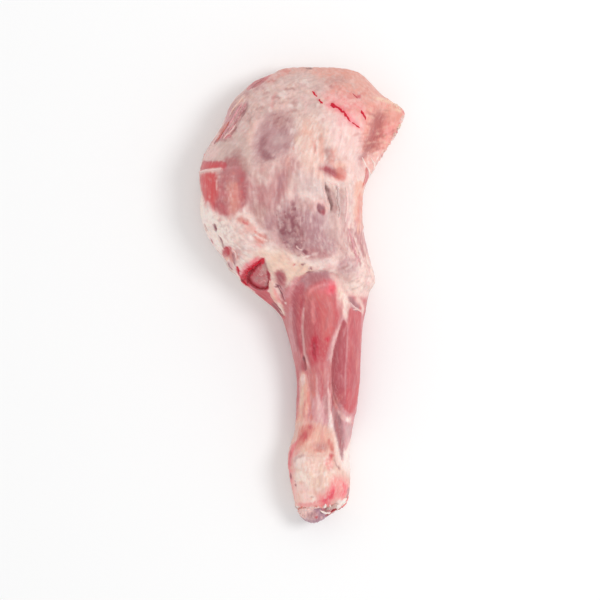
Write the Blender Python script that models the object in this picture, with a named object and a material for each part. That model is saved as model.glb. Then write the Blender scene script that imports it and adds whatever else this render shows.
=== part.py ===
"""A leg of suckling lamb, lying on its inner side: the flesh under its thin fat cover is one solid, and the shank bone,
whose cartilage end shows at the knuckle, is another.

Metres, +Z up. The leg lies on the plane z = 0, with the knuckle at -Y and the thigh at +Y, and the origin is under the
middle of its bounding box. Sizes below are millimetres, and `MM` turns them into metres when a mesh is made.
"""

import math

import bmesh
import bpy
import numpy as np
from mathutils import Vector, noise

MM = 0.001
LEG_NAME = "leg_flesh"
BONE_NAME = "shank_bone"

# Grid of the flesh: rings along the leg, and points over the back and under the belly of each ring.
FLESH_RINGS = 150
BACK_POINTS = 56
BELLY_POINTS = 20
END_SHARE = 0.16
THINNED = 0.47

# Plan outline of the flesh, from the knuckle up the right side to the top of the thigh, and from there down the left.
RIGHT_SIDE = (
    (11, -152), (23, -150), (29, -145.5), (32, -137), (32.5, -124), (32, -111), (34, -95), (37, -78), (39, -60),
    (40, -37), (41, -18), (44.5, -5), (46.5, 4), (50, 10), (48, 19), (45, 30), (42, 44), (41, 60), (41.5, 70),
    (45, 81), (53, 95), (61, 108), (67.5, 120), (71.5, 129), (65, 135), (57, 139.5), (48.5, 148), (39, 156.5),
    (25.5, 160),
)
LEFT_SIDE = (
    (10, 160.5), (-5, 160.5), (-15.5, 159), (-23.5, 155), (-33, 151.5), (-42, 144), (-50.5, 135), (-55, 123.5),
    (-61, 113), (-69.5, 99), (-73, 86), (-72, 71), (-72, 59), (-69, 46.5), (-62.5, 34.5), (-56.5, 27), (-51.5, 18.5),
    (-45.5, 14), (-42.5, 9), (-34.5, 3), (-16, -13), (-12, -24), (-8, -39), (-5, -57), (-5, -79), (-6.5, -95),
    (-11, -112), (-10, -125), (-7, -141), (-4.5, -149.5),
)

# Heights over the table against the place along the leg, in pairs (y, height).
CROWN = ((-152, 30), (-140, 35), (-122, 37), (-105, 33), (-85, 32), (-60, 35), (-35, 40), (-12, 45), (8, 50),
         (30, 57), (60, 63), (95, 63), (125, 55), (145, 45), (160, 36))
RIGHT_EDGE = ((-152, 15), (-120, 17), (-85, 16), (-35, 18), (10, 22), (50, 22), (95, 15), (130, 14), (160, 18))
LEFT_EDGE = ((-152, 15), (-120, 17), (-85, 16), (-35, 16), (0, 13), (20, 16), (60, 21), (100, 20), (160, 18))
LIFT = ((-152, 4), (-140, 0), (-108, 0), (-80, 3), (-40, 4), (-10, 2), (15, 0), (135, 0), (160, 5))
BACK_FULLNESS = ((-152, 2.4), (-60, 2.1), (0, 2.2), (60, 2.5), (160, 2.5))
BELLY_FLATNESS = 3.4
BELLY_SOFTENING = 14.0
TABLE_PRESS = 0.9
THIGH_ROUNDING = 24.0
KNUCKLE_ROUNDING = 13.0

# Shank bone: a shaft in the shank, with a two-lobed joint end at the knuckle.
BONE_RINGS = 30
BONE_POINTS = 22
BONE_END = (9.5, -159.5, 16.5)
BONE_HEAD = (14.5, -8.0, 21.0)
BONE_HALF_WIDTH = ((0, 14.0), (12, 14.4), (24, 10.4), (44, 6.6), (107, 6.6), (134, 8.6), (151, 9.0))
BONE_HALF_HEIGHT = ((0, 9.4), (12, 9.6), (24, 7.8), (44, 6.0), (107, 6.0), (134, 7.4), (151, 8.0))
JOINT_ROUNDING = 8.5
JOINT_SLANT = 0.30
JOINT_NOTCH = 2.4
JOINT_NOTCH_PLACE = 4.5
JOINT_NOTCH_WIDTH = 3.6
JOINT_REACH = 18.0
SOCKET_GAP = 0.35

UNEVENNESS = 0.7
UNEVEN_SPAN = 17.0

# Material finishes: base colour, roughness.
FLESH_FINISH = ((0.78, 0.47, 0.42), 0.42)
BONE_FINISH = ((0.60, 0.42, 0.46), 0.30)


def clear_scene():
    """Removes everything that the scene starts with."""
    for obj in list(bpy.data.objects):
        bpy.data.objects.remove(obj)


def collection_named(name):
    """A new collection in the scene."""
    made = bpy.data.collections.new(name)
    bpy.context.scene.collection.children.link(made)
    return made


def ease(values):
    """Smooth step of values that are first held between 0 and 1."""
    held = np.clip(values, 0.0, 1.0)
    return held * held * (3.0 - 2.0 * held)


def along(pairs, places):
    """Smooth reading of (place, value) pairs at the given places, with level ends."""
    xs = np.array([pair[0] for pair in pairs], float)
    ys = np.array([pair[1] for pair in pairs], float)
    slopes = np.gradient(ys, xs)
    slopes[0] = slopes[-1] = 0.0
    held = np.clip(places, xs[0], xs[-1])
    index = np.clip(np.searchsorted(xs, held, side="right") - 1, 0, len(xs) - 2)
    span = xs[index + 1] - xs[index]
    t = (held - xs[index]) / span
    return (
        (2 * t**3 - 3 * t**2 + 1) * ys[index]
        + (t**3 - 2 * t**2 + t) * span * slopes[index]
        + (3 * t**2 - 2 * t**3) * ys[index + 1]
        + (t**3 - t**2) * span * slopes[index + 1]
    )


def smooth_path(points, closed=False, steps=10):
    """Centripetal Catmull-Rom curve through the points, as an array with that many steps a span."""
    knots = np.array(points, float)
    if closed:
        ring = np.vstack([knots[-1:], knots, knots[:2]])
    else:
        ring = np.vstack([2 * knots[:1] - knots[1:2], knots, 2 * knots[-1:] - knots[-2:-1]])
    made = []
    for p0, p1, p2, p3 in zip(ring, ring[1:], ring[2:], ring[3:]):
        d1, d2, d3 = (math.sqrt(np.linalg.norm(b - a)) for a, b in ((p0, p1), (p1, p2), (p2, p3)))
        start = (p1 - p0) / d1 - (p2 - p0) / (d1 + d2) + (p2 - p1) / d2
        end = (p2 - p1) / d2 - (p3 - p1) / (d2 + d3) + (p3 - p2) / d3
        for step in range(steps):
            t = step / steps
            made.append(
                (2 * t**3 - 3 * t**2 + 1) * p1
                + (t**3 - 2 * t**2 + t) * d2 * start
                + (3 * t**2 - 2 * t**3) * p2
                + (t**3 - t**2) * d2 * end
            )
    if not closed:
        made.append(knots[-1])
    return np.array(made)


def outline_sides():
    """The plan outline as its left and its right side, each from its lowest point to its highest."""
    loop = smooth_path(RIGHT_SIDE + LEFT_SIDE, closed=True, steps=24)
    loop = np.roll(loop, -int(loop[:, 1].argmin()), axis=0)
    top = int(loop[:, 1].argmax())
    return np.vstack([loop[top:], loop[:1]])[::-1], loop[: top + 1]


def ring_levels(low, high, rings):
    """Ring places from low to high: even along the body, and closing up quadratically at both ends."""
    t = np.linspace(-1.0, 1.0, rings + 1)
    slope = 1.0 / (1.0 - END_SHARE / 2)
    size = np.abs(t)
    eased = np.where(size > 1 - END_SHARE, 1 - slope * (1 - size) ** 2 / (2 * END_SHARE), slope * size)
    return low + (high - low) * (np.sign(t) * eased + 1) / 2


def round_end(distance, rounding):
    """Share of the full height at a distance from an end: 0 there, and 1 past the rounding, as a quarter circle."""
    share = np.clip(distance / rounding, 0.0, 1.0)
    return np.sqrt(np.maximum(0.0, 1.0 - (1.0 - share) ** 2))


def softened(edge, levels):
    """An edge of the outline with its small bumps taken out."""
    near = np.exp(-(((levels[:, None] - levels[None, :]) / BELLY_SOFTENING) ** 2))
    near *= np.gradient(levels)[None, :]
    return near @ edge / near.sum(axis=1)


def section(left, right, level, low_left, low_right, rise, power, turn):
    """Half of one ring, over the angles in `turn`: a superellipse that rises from the two edges' heights."""
    across = np.sign(np.cos(turn)) * np.abs(np.cos(turn)) ** (2 / power)
    height = np.abs(np.sin(turn)) ** (2 / power)
    edge = low_left + (low_right - low_left) * (across + 1) / 2
    x = (left + right) / 2 + (right - left) / 2 * across
    return np.stack([x, np.full(len(turn), level), edge + (rise - edge) * height, across], axis=1)


def flesh_rings():
    """The smooth flesh without its relief, as rings by points by xyz, and how far across its ring each point is."""
    left_side, right_side = outline_sides()
    levels = ring_levels(right_side[0, 1], right_side[-1, 1], FLESH_RINGS)
    left = np.interp(levels, left_side[:, 1], left_side[:, 0])
    right = np.interp(levels, right_side[:, 1], right_side[:, 0])
    end = round_end(levels - levels[0], KNUCKLE_ROUNDING) * round_end(levels[-1] - levels, THIGH_ROUNDING)
    body = ease((levels - levels[0]) / KNUCKLE_ROUNDING) * ease((levels[-1] - levels) / THIGH_ROUNDING)
    drawn_left = (softened(left, levels) - left) * body
    drawn_right = (softened(right, levels) - right) * body
    low_left, low_right = along(LEFT_EDGE, levels), along(RIGHT_EDGE, levels)
    middle = (low_left + low_right) / 2
    crown = middle + (along(CROWN, levels) - middle) * end
    belly = middle - (middle - along(LIFT, levels) + TABLE_PRESS) * end
    power = along(BACK_FULLNESS, levels)
    over = np.linspace(0.0, math.pi, BACK_POINTS, endpoint=False)
    under = np.linspace(math.pi, 0.0, BELLY_POINTS, endpoint=False)
    rings = []
    for i, level in enumerate(levels):
        edges = (left[i], right[i], level, low_left[i], low_right[i])
        rings.append(
            np.vstack(
                [section(*edges, crown[i], power[i], over), section(*edges, belly[i], BELLY_FLATNESS, under)]
            )
        )
    made = np.array(rings)
    across = made[..., 3]
    beside = across**2 * (1.0 - across**8)
    drawn = np.where(across > 0, drawn_right[:, None], drawn_left[:, None]) * beside
    made[:, BACK_POINTS:, 0] += drawn[:, BACK_POINTS:]
    return made[..., :3], across


def path_distance(spots, path):
    """Each spot's distance from a path in plan, and how far along it, from 0 to 1, its nearest point lies."""
    apart = np.linalg.norm(spots[:, None, :] - path[None, :, :], axis=2)
    nearest = apart.argmin(axis=1)
    return apart[np.arange(len(spots)), nearest], nearest / (len(path) - 1)


def crease(spots, points, width, depth, closed=False, taper=0.25):
    """Relief of a groove, or of a ridge where depth is negative, along a path in plan."""
    path = smooth_path(points, closed=closed)
    apart, share = path_distance(spots, path)
    profile = np.clip(1.0 - (apart / width) ** 2, 0.0, 1.0) ** 2
    ends = 1.0 if closed else ease(share / taper + 0.15) * ease((1.0 - share) / taper + 0.15)
    return -depth * profile * ends


def lump(spots, centre, radii, height, turn=0.0):
    """Relief of a swelling, or of a hollow where height is negative, on an ellipse in plan."""
    turned = math.radians(turn)
    x, y = spots[:, 0] - centre[0], spots[:, 1] - centre[1]
    u = (x * math.cos(turned) + y * math.sin(turned)) / radii[0]
    v = (y * math.cos(turned) - x * math.sin(turned)) / radii[1]
    return height * np.clip(1.0 - u**2 - v**2, 0.0, 1.0) ** 1.5


def inside(spots, points):
    """Signed distance of each spot from a closed path in plan, positive inside it."""
    loop = smooth_path(points, closed=True)
    apart, _ = path_distance(spots, loop)
    x, y = spots[:, 0], spots[:, 1]
    within = np.zeros(len(spots), bool)
    for (ax, ay), (bx, by) in zip(loop, np.roll(loop, -1, axis=0)):
        if ay == by:
            continue
        within ^= ((ay > y) != (by > y)) & (x < (bx - ax) * (y - ay) / (by - ay) + ax)
    return np.where(within, apart, -apart)


# Swellings and hollows of the upper side: centre, half sizes, height and turn in degrees.
THIGH_LUMPS = (
    ((-34, 127), (32, 30), 2.5, 0),
    ((25, 122), (26, 34), 4.0, 0),
    ((8, 42), (34, 30), 4.5, 0),
    ((-20, 107), (24, 20), -3.5, 30),
    ((20, 84), (12, 16), -3.0, 0),
    ((-56, 76), (22, 24), 3.0, 0),
    ((-40, 40), (20, 24), 3.5, 20),
)
SHANK_LUMPS = (
    ((15, -14), (14, 32), 3.0, 0),
    ((30, -45), (10, 42), 3.0, 0),
    ((-4, -12), (7, 30), 1.8, 0),
    ((0, -117), (11, 14), 2.5, 0),
    ((19, -130), (12, 14), 2.0, 0),
    ((10, -94), (16, 14), -1.5, 0),
)
KNEE_ARCH = ((-10, -15), (-8, -2.5), (-3, 9), (4.5, 15.5), (13, 18), (22, 15.5), (29, 9), (33, -0.5), (34, -10))
FLAP_VALLEY = ((60, 138), (53.5, 125), (50, 113), (44.5, 101), (38, 93))
FLAP = ((62, 142), (54, 126), (50.5, 113), (45, 102), (37, 92), (56, 78), (90, 110), (84, 145))
WEDGE = ((-50, 12), (-42, 9), (-36, 5), (-26, 2), (-15, -9), (-13, -24), (-34, -22))
BARE_MUSCLE = ((-72, 84), (-41, 90), (-38, 74.5), (-40, 64), (-48, 57.5), (-61, 56), (-68, 67.5))
POCKET = ((-35, 18.5), (-37.5, 11), (-32, 6), (-25.5, 6.5), (-23.5, 14.5), (-27.5, 23.5))

# Grooves of the upper side: path, half width and depth.
THIGH_CREASES = (
    (FLAP_VALLEY, 12.0, 3.5),
    (((16.5, 79), (18, 69.5), (20, 60.5)), 3.4, 2.6),
    (((25.5, 74.5), (27, 66), (29, 52)), 3.6, 1.4),
    (((-38, 139), (-41, 130.5), (-44.5, 122), (-48.5, 112.5), (-54, 108)), 3.6, 1.8),
    (((-22, 14.5), (-18.5, 6), (-15, -1), (-13.5, -6.5)), 3.4, 3.0),
    (((-25.5, 6), (-20.5, -2), (-16, -10)), 3.0, -1.6),
    (((-54, 34), (-51.5, 27), (-50, 21.5)), 3.4, 2.4),
    (((44.5, 90), (44, 83), (41.5, 74.5)), 3.6, 1.8),
    (((29.5, 50), (32.5, 36), (37, 24)), 3.6, 1.4),
)
SHANK_CREASES = (
    (((-6.5, -2.5), (-8, -16.5), (-6.5, -32), (-4, -46), (-3, -58.5)), 3.0, 1.5),
    (((4, 6.5), (0.5, -2.5), (-0.5, -16.5), (-0.5, -30.5), (2, -44.5), (4, -55)), 3.2, 2.2),
    (((28, -1), (26, -15), (20.5, -27), (16.5, -37.5), (15.5, -53)), 3.2, 1.4),
    (((29.5, -11), (26, -20), (23, -30.5), (20, -43), (19, -58.5), (22, -71), (26, -79.5), (29, -81.5)), 3.4, 2.2),
    (((30.5, -20), (29, -37.5), (29, -58.5), (29.5, -72.5)), 3.0, 0.9),
    (((21, -73), (23.5, -86.5), (26, -100.5), (27.5, -111.5)), 4.0, 3.0),
    (((32, -82), (35.5, -70.5), (38, -53)), 3.0, 1.2),
    (((-3, -62), (-2, -72.5), (-2.5, -90)), 3.0, 1.0),
    (((3, -57), (5, -72.5), (3, -88)), 3.0, 1.2),
    (((13, -69), (15, -81), (14.5, -90)), 3.0, 1.0),
    (((-6, -109.5), (0, -105.5), (6, -107), (13, -104.5), (19, -108), (22, -116)), 3.4, 1.4),
    (((-4.5, -100.5), (-7.5, -111), (-7.5, -121.5), (-6, -132)), 3.2, 1.3),
)

# Seams between the muscles of the inner side, which is under the leg as it lies.
BELLY_CREASES = (
    (((2, 146), (-8, 110), (-2, 70), (8, 36)), 7.0, 3.5),
    (((34, 118), (24, 80), (20, 44)), 6.0, 3.0),
    (((-40, 118), (-34, 80), (-38, 46)), 6.0, 2.5),
    (((14, 2), (12, -40), (13, -88)), 5.0, 2.5),
)

# Edges of the relief: shares of a thickness or a half width, and widths, depths and drops in millimetres.
EDGE_FADE = 0.12
FLAP_THINNING = 0.60
FLAP_SLOPE = 13.0
FLAP_UNDERCUT = 0.62
WEDGE_THINNING = 0.45
WEDGE_SLOPE = 5.0
ARCH_FOOT = ((30, -30), (0, -30))
ARCH_WIDTH = 3.4
ARCH_RUN_OUT = 22.0
ARCH_STEP = 2.4
ARCH_GROOVE = 2.6
POCKET_WIDTH = 3.6
POCKET_DEPTH = 2.6
BARE_DROP = 1.3
BARE_EDGE = 2.5


def back_relief(spots):
    """Relief of the upper side at each spot in plan."""
    total = np.zeros(len(spots))
    for centre, radii, height, turn in THIGH_LUMPS + SHANK_LUMPS:
        total += lump(spots, centre, radii, height, turn)
    for points, width, depth in THIGH_CREASES + SHANK_CREASES:
        total += crease(spots, points, width, depth)
    total += crease(spots, KNEE_ARCH, ARCH_WIDTH, ARCH_GROOVE)
    total += crease(spots, POCKET, POCKET_WIDTH, POCKET_DEPTH, closed=True)
    under_arch = inside(spots, KNEE_ARCH + ARCH_FOOT)
    total -= ARCH_STEP * ease(under_arch / ARCH_WIDTH) * ease((spots[:, 1] - ARCH_FOOT[0][1]) / ARCH_RUN_OUT)
    total -= BARE_DROP * ease(inside(spots, BARE_MUSCLE) / BARE_EDGE)
    return total


def belly_relief(spots):
    """Relief of the inner side at each spot in plan."""
    total = np.zeros(len(spots))
    for points, width, depth in BELLY_CREASES:
        total += crease(spots, points, width, depth)
    return total


def unevenness(points):
    """Soft random swelling of a natural surface, the same each time."""
    spots = points.reshape(-1, 3) / UNEVEN_SPAN
    values = [noise.noise(Vector(spot)) for spot in spots]
    return UNEVENNESS * np.array(values).reshape(points.shape[:2])


def thin_places(spots, upper):
    """How much of its thickness each point loses, towards the height of the leg's edge beside it."""
    flap, wedge = inside(spots, FLAP) / FLAP_SLOPE, inside(spots, WEDGE) / WEDGE_SLOPE
    kept = (1.0 - FLAP_THINNING * ease(flap + 0.5)) * (1.0 - WEDGE_THINNING * ease(wedge + 0.3))
    return np.where(upper, 1.0 - kept, FLAP_UNDERCUT * ease(flap))


def place_flesh():
    """The flesh's rings with their relief, resting on z = 0."""
    rings, across = flesh_rings()
    spots = rings[..., :2].reshape(-1, 2)
    fade = ease((1.0 - np.abs(across)) / EDGE_FADE)
    swell = unevenness(rings)
    upper = np.broadcast_to(np.arange(rings.shape[1]) < BACK_POINTS, across.shape)
    edge = rings[:, :1, 2] * (1 + across) / 2 + rings[:, BACK_POINTS : BACK_POINTS + 1, 2] * (1 - across) / 2
    lost = thin_places(spots, upper.reshape(-1)).reshape(across.shape)
    rings[..., 2] += (edge - rings[..., 2]) * lost
    shift = np.where(
        upper,
        back_relief(spots).reshape(across.shape) + swell,
        -belly_relief(spots).reshape(across.shape),
    )
    rings[..., 2] += shift * fade
    rings[..., 0] += swell * across
    rings[0], rings[-1] = rings[0].mean(axis=0), rings[-1].mean(axis=0)
    rings[..., 2] = np.maximum(rings[..., 2], 0.0)
    return rings


def place_bone(gap=0.0):
    """The shank bone's rings, with its surface moved out by the gap."""
    foot, head = np.array(BONE_END), np.array(BONE_HEAD)
    length = np.linalg.norm(head - foot)
    axis = (head - foot) / length
    side = np.array((axis[1], -axis[0], 0.0)) / math.hypot(axis[0], axis[1])
    up = np.cross(side, axis)
    places = ring_levels(-gap, length + gap, BONE_RINGS)
    end = round_end(places + gap, JOINT_ROUNDING) * round_end(length + gap - places, JOINT_ROUNDING)
    wide = (along(BONE_HALF_WIDTH, places) + gap) * end
    high = (along(BONE_HALF_HEIGHT, places) + gap) * end
    turn = np.linspace(0.0, 2 * math.pi, BONE_POINTS, endpoint=False)
    rings = []
    for place, half_width, half_height in zip(places, wide, high):
        across = half_width * np.cos(turn)
        near_joint = ease(1.0 - place / JOINT_REACH)
        notch = JOINT_NOTCH * np.exp(-(((across - JOINT_NOTCH_PLACE) / JOINT_NOTCH_WIDTH) ** 2))
        shift = near_joint * (JOINT_SLANT * np.maximum(across, 0.0) + notch)
        rings.append(
            foot
            + np.outer(place + shift, axis)
            + np.outer(across, side)
            + np.outer(half_height * np.sin(turn), up)
        )
    return np.array(rings)


def mesh_of_rings(name, rings, collection):
    """An object whose unit sphere has its vertices moved to the rings: the two end rings are the sphere's poles."""
    spans, points = rings.shape[0] - 1, rings.shape[1]
    bm = bmesh.new()
    bmesh.ops.create_uvsphere(bm, u_segments=points, v_segments=spans, radius=1.0)
    for vert in bm.verts:
        ring = round((math.pi / 2 + math.asin(max(-1.0, min(1.0, vert.co.z)))) / math.pi * spans)
        place = round(math.atan2(vert.co.y, vert.co.x) / (2 * math.pi) * points) % points
        vert.co = Vector(rings[ring, place]) * MM
    bmesh.ops.recalc_face_normals(bm, faces=bm.faces)
    mesh = bpy.data.meshes.new(name)
    bm.to_mesh(mesh)
    bm.free()
    mesh.shade_smooth()
    obj = bpy.data.objects.new(name, mesh)
    collection.objects.link(obj)
    return obj


def dress(obj, finish):
    """Gives an object a material of its own, from a base colour and a roughness."""
    colour, roughness = finish
    material = bpy.data.materials.new(obj.name)
    material.use_nodes = True
    shader = material.node_tree.nodes["Principled BSDF"]
    shader.inputs["Base Color"].default_value = (*colour, 1.0)
    shader.inputs["Roughness"].default_value = roughness
    shader.inputs["Metallic"].default_value = 0.0
    obj.data.materials.append(material)


def thin(flesh):
    """Thins the flesh's triangles out where it's smooth."""
    fewer = flesh.modifiers.new("fewer_triangles", "DECIMATE")
    fewer.ratio = THINNED


def cut_socket(flesh, cutter):
    """Cuts the bone's seat out of the flesh."""
    cutter.hide_render = True
    cutter.display_type = "WIRE"
    seat = flesh.modifiers.new("bone_seat", "BOOLEAN")
    seat.operation = "DIFFERENCE"
    seat.solver = "EXACT"
    seat.object = cutter


def centre_on_origin(rings_of_parts):
    """How far to move the parts so that the origin is under the middle of their box."""
    spots = np.vstack([rings.reshape(-1, 3) for rings in rings_of_parts])
    low, high = spots.min(axis=0), spots.max(axis=0)
    return np.array((-(low[0] + high[0]) / 2, -(low[1] + high[1]) / 2, 0.0))


def main():
    """Builds the leg."""
    clear_scene()
    parts, cutters = collection_named("suckling_lamb_leg"), collection_named("cutters")
    flesh_grid, bone_grid, seat_grid = place_flesh(), place_bone(), place_bone(SOCKET_GAP)
    shift = centre_on_origin((flesh_grid, bone_grid))
    flesh = mesh_of_rings(LEG_NAME, flesh_grid + shift, parts)
    bone = mesh_of_rings(BONE_NAME, bone_grid + shift, parts)
    seat = mesh_of_rings("bone_seat_cutter", seat_grid + shift, cutters)
    thin(flesh)
    cut_socket(flesh, seat)
    dress(flesh, FLESH_FINISH)
    dress(bone, BONE_FINISH)


main()
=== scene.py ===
"""The looks of a raw leg of suckling lamb, lying on its inner side under soft studio light.

The leg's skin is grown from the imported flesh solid. It gets the fine relief of membranes, fat and fibres,
and is painted in touches whose places are pixels of the 600 x 600 picture, seen from straight above. The
joint end, the strands, the shreds and the blood that lie on the skin are pieces of their own.
"""

import itertools
import logging
import math
from collections.abc import Sequence
from dataclasses import dataclass
from enum import Enum
from typing import Union

import bmesh
import bpy
import numpy as np
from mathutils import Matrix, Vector
from mathutils.bvhtree import BVHTree


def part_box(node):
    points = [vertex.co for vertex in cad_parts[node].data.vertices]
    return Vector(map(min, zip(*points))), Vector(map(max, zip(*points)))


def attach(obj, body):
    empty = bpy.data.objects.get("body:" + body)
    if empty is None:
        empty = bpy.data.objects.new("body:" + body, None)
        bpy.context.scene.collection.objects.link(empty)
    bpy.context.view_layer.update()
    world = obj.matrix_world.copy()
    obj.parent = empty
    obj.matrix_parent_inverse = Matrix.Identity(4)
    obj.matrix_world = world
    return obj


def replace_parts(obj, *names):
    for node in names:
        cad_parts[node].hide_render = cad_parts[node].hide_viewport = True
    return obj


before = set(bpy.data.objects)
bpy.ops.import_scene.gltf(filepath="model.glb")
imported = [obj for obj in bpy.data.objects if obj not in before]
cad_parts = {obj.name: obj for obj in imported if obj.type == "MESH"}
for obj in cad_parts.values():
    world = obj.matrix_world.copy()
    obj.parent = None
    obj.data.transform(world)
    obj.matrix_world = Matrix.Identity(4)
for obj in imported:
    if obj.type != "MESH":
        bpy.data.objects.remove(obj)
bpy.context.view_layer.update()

log = logging.getLogger("lamb_leg")

MM = .001
BODY = "root"
FLESH_NODE = "leg_flesh"
BONE_NODE = "shank_bone"

Array = np.ndarray
Mesh = bpy.types.Mesh
Material = bpy.types.Material
Path = Union[Sequence[float], Array]  # pixels across and down, in turn


def ease(low: float, high: float, values: Array) -> Array:
    """Smooth step of values, from 0 at low to 1 at high."""
    share = np.clip((values - low) / (high - low), 0, 1)
    return share * share * (3 - 2 * share)


def units(rows: Array, least: float = 1e-12) -> Array:
    """Rows scaled to a length of 1, apart from those shorter than the least length."""
    return rows / np.maximum(np.linalg.norm(rows, axis=1, keepdims=True), least)


def curve_through(points: Path, closed: bool = False, spacing: float = .7) -> Array:
    """Smooth curve through points of the picture.

    Args:
        points: Points in pixels.
        closed: Whether the curve runs back to its start.
        spacing: Rough distance between the points that are returned.

    Returns:
        Points along the curve, one row each.
    """
    knots = np.array(points, float).reshape(-1, 2)
    if closed:
        ring = np.vstack([knots[-1:], knots, knots[:2]])
    else:
        ring = np.vstack([2 * knots[:1] - knots[1:2], knots, 2 * knots[-1:] - knots[-2:-1]])
    spans = []
    for p0, p1, p2, p3 in zip(ring, ring[1:], ring[2:], ring[3:]):
        steps = max(2, round(float(np.linalg.norm(p2 - p1)) / spacing))
        t = np.arange(steps)[:, None] / steps
        bend = (2 * p0 - 5 * p1 + 4 * p2 - p3) * t**2 + (3 * p1 - p0 - 3 * p2 + p3) * t**3
        spans.append(p1 + .5 * ((p2 - p0) * t + bend))
    if not closed:
        spans.append(knots[-1:])
    return np.vstack(spans)


class GradientNoise:
    """Seeded gradient noise of points in space, the same on each run."""

    CELLS = 256
    LIFT = 1.7

    def __init__(self, seed: int) -> None:
        """Draws the lattice of slopes.

        Args:
            seed: Seed of the draws.
        """
        draw = np.random.default_rng(seed)
        self.order = draw.permutation(self.CELLS)
        slopes = draw.normal(size=(self.CELLS, 3))
        self.slopes = slopes / np.linalg.norm(slopes, axis=1, keepdims=True)

    def at(self, places: Array) -> Array:
        """Reads the noise.

        Args:
            places: Places whose unit is one cell of the lattice.

        Returns:
            Numbers from about -1 to 1.
        """
        cell = np.floor(places).astype(int)
        part = places - cell
        fade = part**3 * (part * (part * 6 - 15) + 10)
        total = np.zeros(len(places))
        for corner in itertools.product((0, 1), repeat=3):
            index = np.zeros(len(places), int)
            for axis in range(3):
                index = self.order[(index + cell[:, axis] + corner[axis]) % self.CELLS]
            weight = np.prod(np.where(corner, fade, 1 - fade), axis=1)
            total += weight * np.sum(self.slopes[index] * (part - corner), axis=1)
        return total * self.LIFT

    def layered(self, places: Array, octaves: int = 3) -> Array:
        """Reads octaves of the noise, each half as large and half as strong as the last.

        Args:
            places: Places whose unit is one cell of the largest octave.
            octaves: How many there are.

        Returns:
            Numbers from about -1 to 1.
        """
        total = np.zeros(len(places))
        weight, whole = 1.0, 0.0
        for octave in range(octaves):
            total += weight * self.at(places * 2.0**octave + 17 * octave)
            whole += weight
            weight *= .5
        return total / math.sqrt(whole)


@dataclass(frozen=True)
class PhotoPlan:
    """Where the pixels of the picture lie, seen from straight above."""

    pixel_m: float = .7 * MM  # width of a pixel at the level
    middle_px: tuple[float, float] = (300.0, 300.0)  # middle of the picture
    middle_m: tuple[float, float] = (-1.53 * MM, -3.28 * MM)  # place under it
    eye_m: float = 2.0  # height of the camera
    level_m: float = .02  # height at which the scale holds

    def pixels(self, points: Array) -> Array:
        """Finds the pixels at which points are seen.

        Args:
            points: Points in metres.

        Returns:
            Pixels across and down, one row each.
        """
        nearer = (self.eye_m - self.level_m) / (self.eye_m - points[:, 2]) / self.pixel_m
        across = (points[:, 0] - self.middle_m[0]) * nearer + self.middle_px[0]
        down = (self.middle_m[1] - points[:, 1]) * nearer + self.middle_px[1]
        return np.stack([across, down], axis=1)

    def place(self, pixel: Array) -> Vector:
        """Place at the level that a pixel shows."""
        return Vector((self.middle_m[0] + (pixel[0] - self.middle_px[0]) * self.pixel_m,
                       self.middle_m[1] - (pixel[1] - self.middle_px[1]) * self.pixel_m, self.level_m))


PLAN = PhotoPlan()


class Tint(Enum):
    """Colours of the leg: red, green and blue from 0 to 255, how bare the muscle is, and how wet it is."""

    CREAM = (240, 206, 195, 0, .3)
    FAT_WHITE = (248, 231, 224, 0, .4)
    # fat white lifted past the fat's own colour: painted light for fat that turns away from the lamp
    BRIGHT_FAT = (255, 236, 224, 0, .4)
    PEACH = (231, 189, 175, 0, .3)
    YELLOW_FAT = (238, 202, 176, 0, .35)
    ORANGE_FAT = (238, 178, 158, 0, .35)
    PALE_PINK = (239, 199, 193, .1, .35)
    FASCIA = (212, 146, 150, .2, .5)
    BLUSH = (240, 142, 140, .2, .4)
    SALMON = (221, 148, 132, .3, .35)
    ROSE_SALMON = (216, 122, 112, .5, .4)
    FLAP_PINK = (234, 150, 138, .4, .35)
    FLAP_DEEP = (178, 90, 86, .6, .35)
    GREY_BEIGE = (205, 174, 166, .1, .3)
    BROWN_ROSE = (182, 132, 127, .4, .35)
    GREY_PINK = (207, 178, 174, .1, .35)
    DUSTY_ROSE = (184, 118, 119, .5, .4)
    MAUVE = (172, 120, 126, .4, .4)
    DARK_MAUVE = (150, 94, 99, .6, .3)
    PLUM = (128, 54, 66, .8, .2)
    LILAC = (216, 152, 157, .2, .45)
    ROSE_MUSCLE = (198, 74, 82, 1, .5)
    DEEP_MUSCLE = (176, 72, 82, 1, .5)
    BRIGHT_MUSCLE = (217, 70, 72, 1, .5)
    DUSKY_MUSCLE = (172, 92, 96, 1, .45)
    PINK_MUSCLE = (202, 112, 115, 1, .5)
    HOT_PINK = (240, 78, 96, .8, .6)
    BLOOD = (206, 8, 44, .9, .15)
    DARK_BLOOD = (152, 0, 28, .9, .05)
    SHADOW = (118, 78, 74, .8, .2)
    VIOLET_GREY = (172, 126, 142, .2, .6)

    @property
    def colour(self) -> Array:
        """Red, green and blue from 0 to 1, as a screen shows them."""
        return np.array(self.value[:3]) / 255

    @property
    def linear(self) -> tuple[float, float, float, float]:
        """The colour for a shader socket, with alpha."""
        return (*linear_light(self.colour), 1)


(CREAM, FAT_WHITE, BRIGHT_FAT, PEACH, YELLOW_FAT, ORANGE_FAT, PALE_PINK, FASCIA, BLUSH, SALMON, ROSE_SALMON,
 FLAP_PINK, FLAP_DEEP, GREY_BEIGE, BROWN_ROSE, GREY_PINK, DUSTY_ROSE, MAUVE, DARK_MAUVE, PLUM, LILAC,
 ROSE_MUSCLE, DEEP_MUSCLE, BRIGHT_MUSCLE, DUSKY_MUSCLE, PINK_MUSCLE, HOT_PINK, BLOOD, DARK_BLOOD, SHADOW,
 VIOLET_GREY) = Tint


def linear_light(colour: Array) -> Array:
    """Screen colours as the amounts of light that shaders take."""
    return np.where(colour <= .04045, colour / 12.92, ((colour + .055) / 1.055) ** 2.4)


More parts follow.
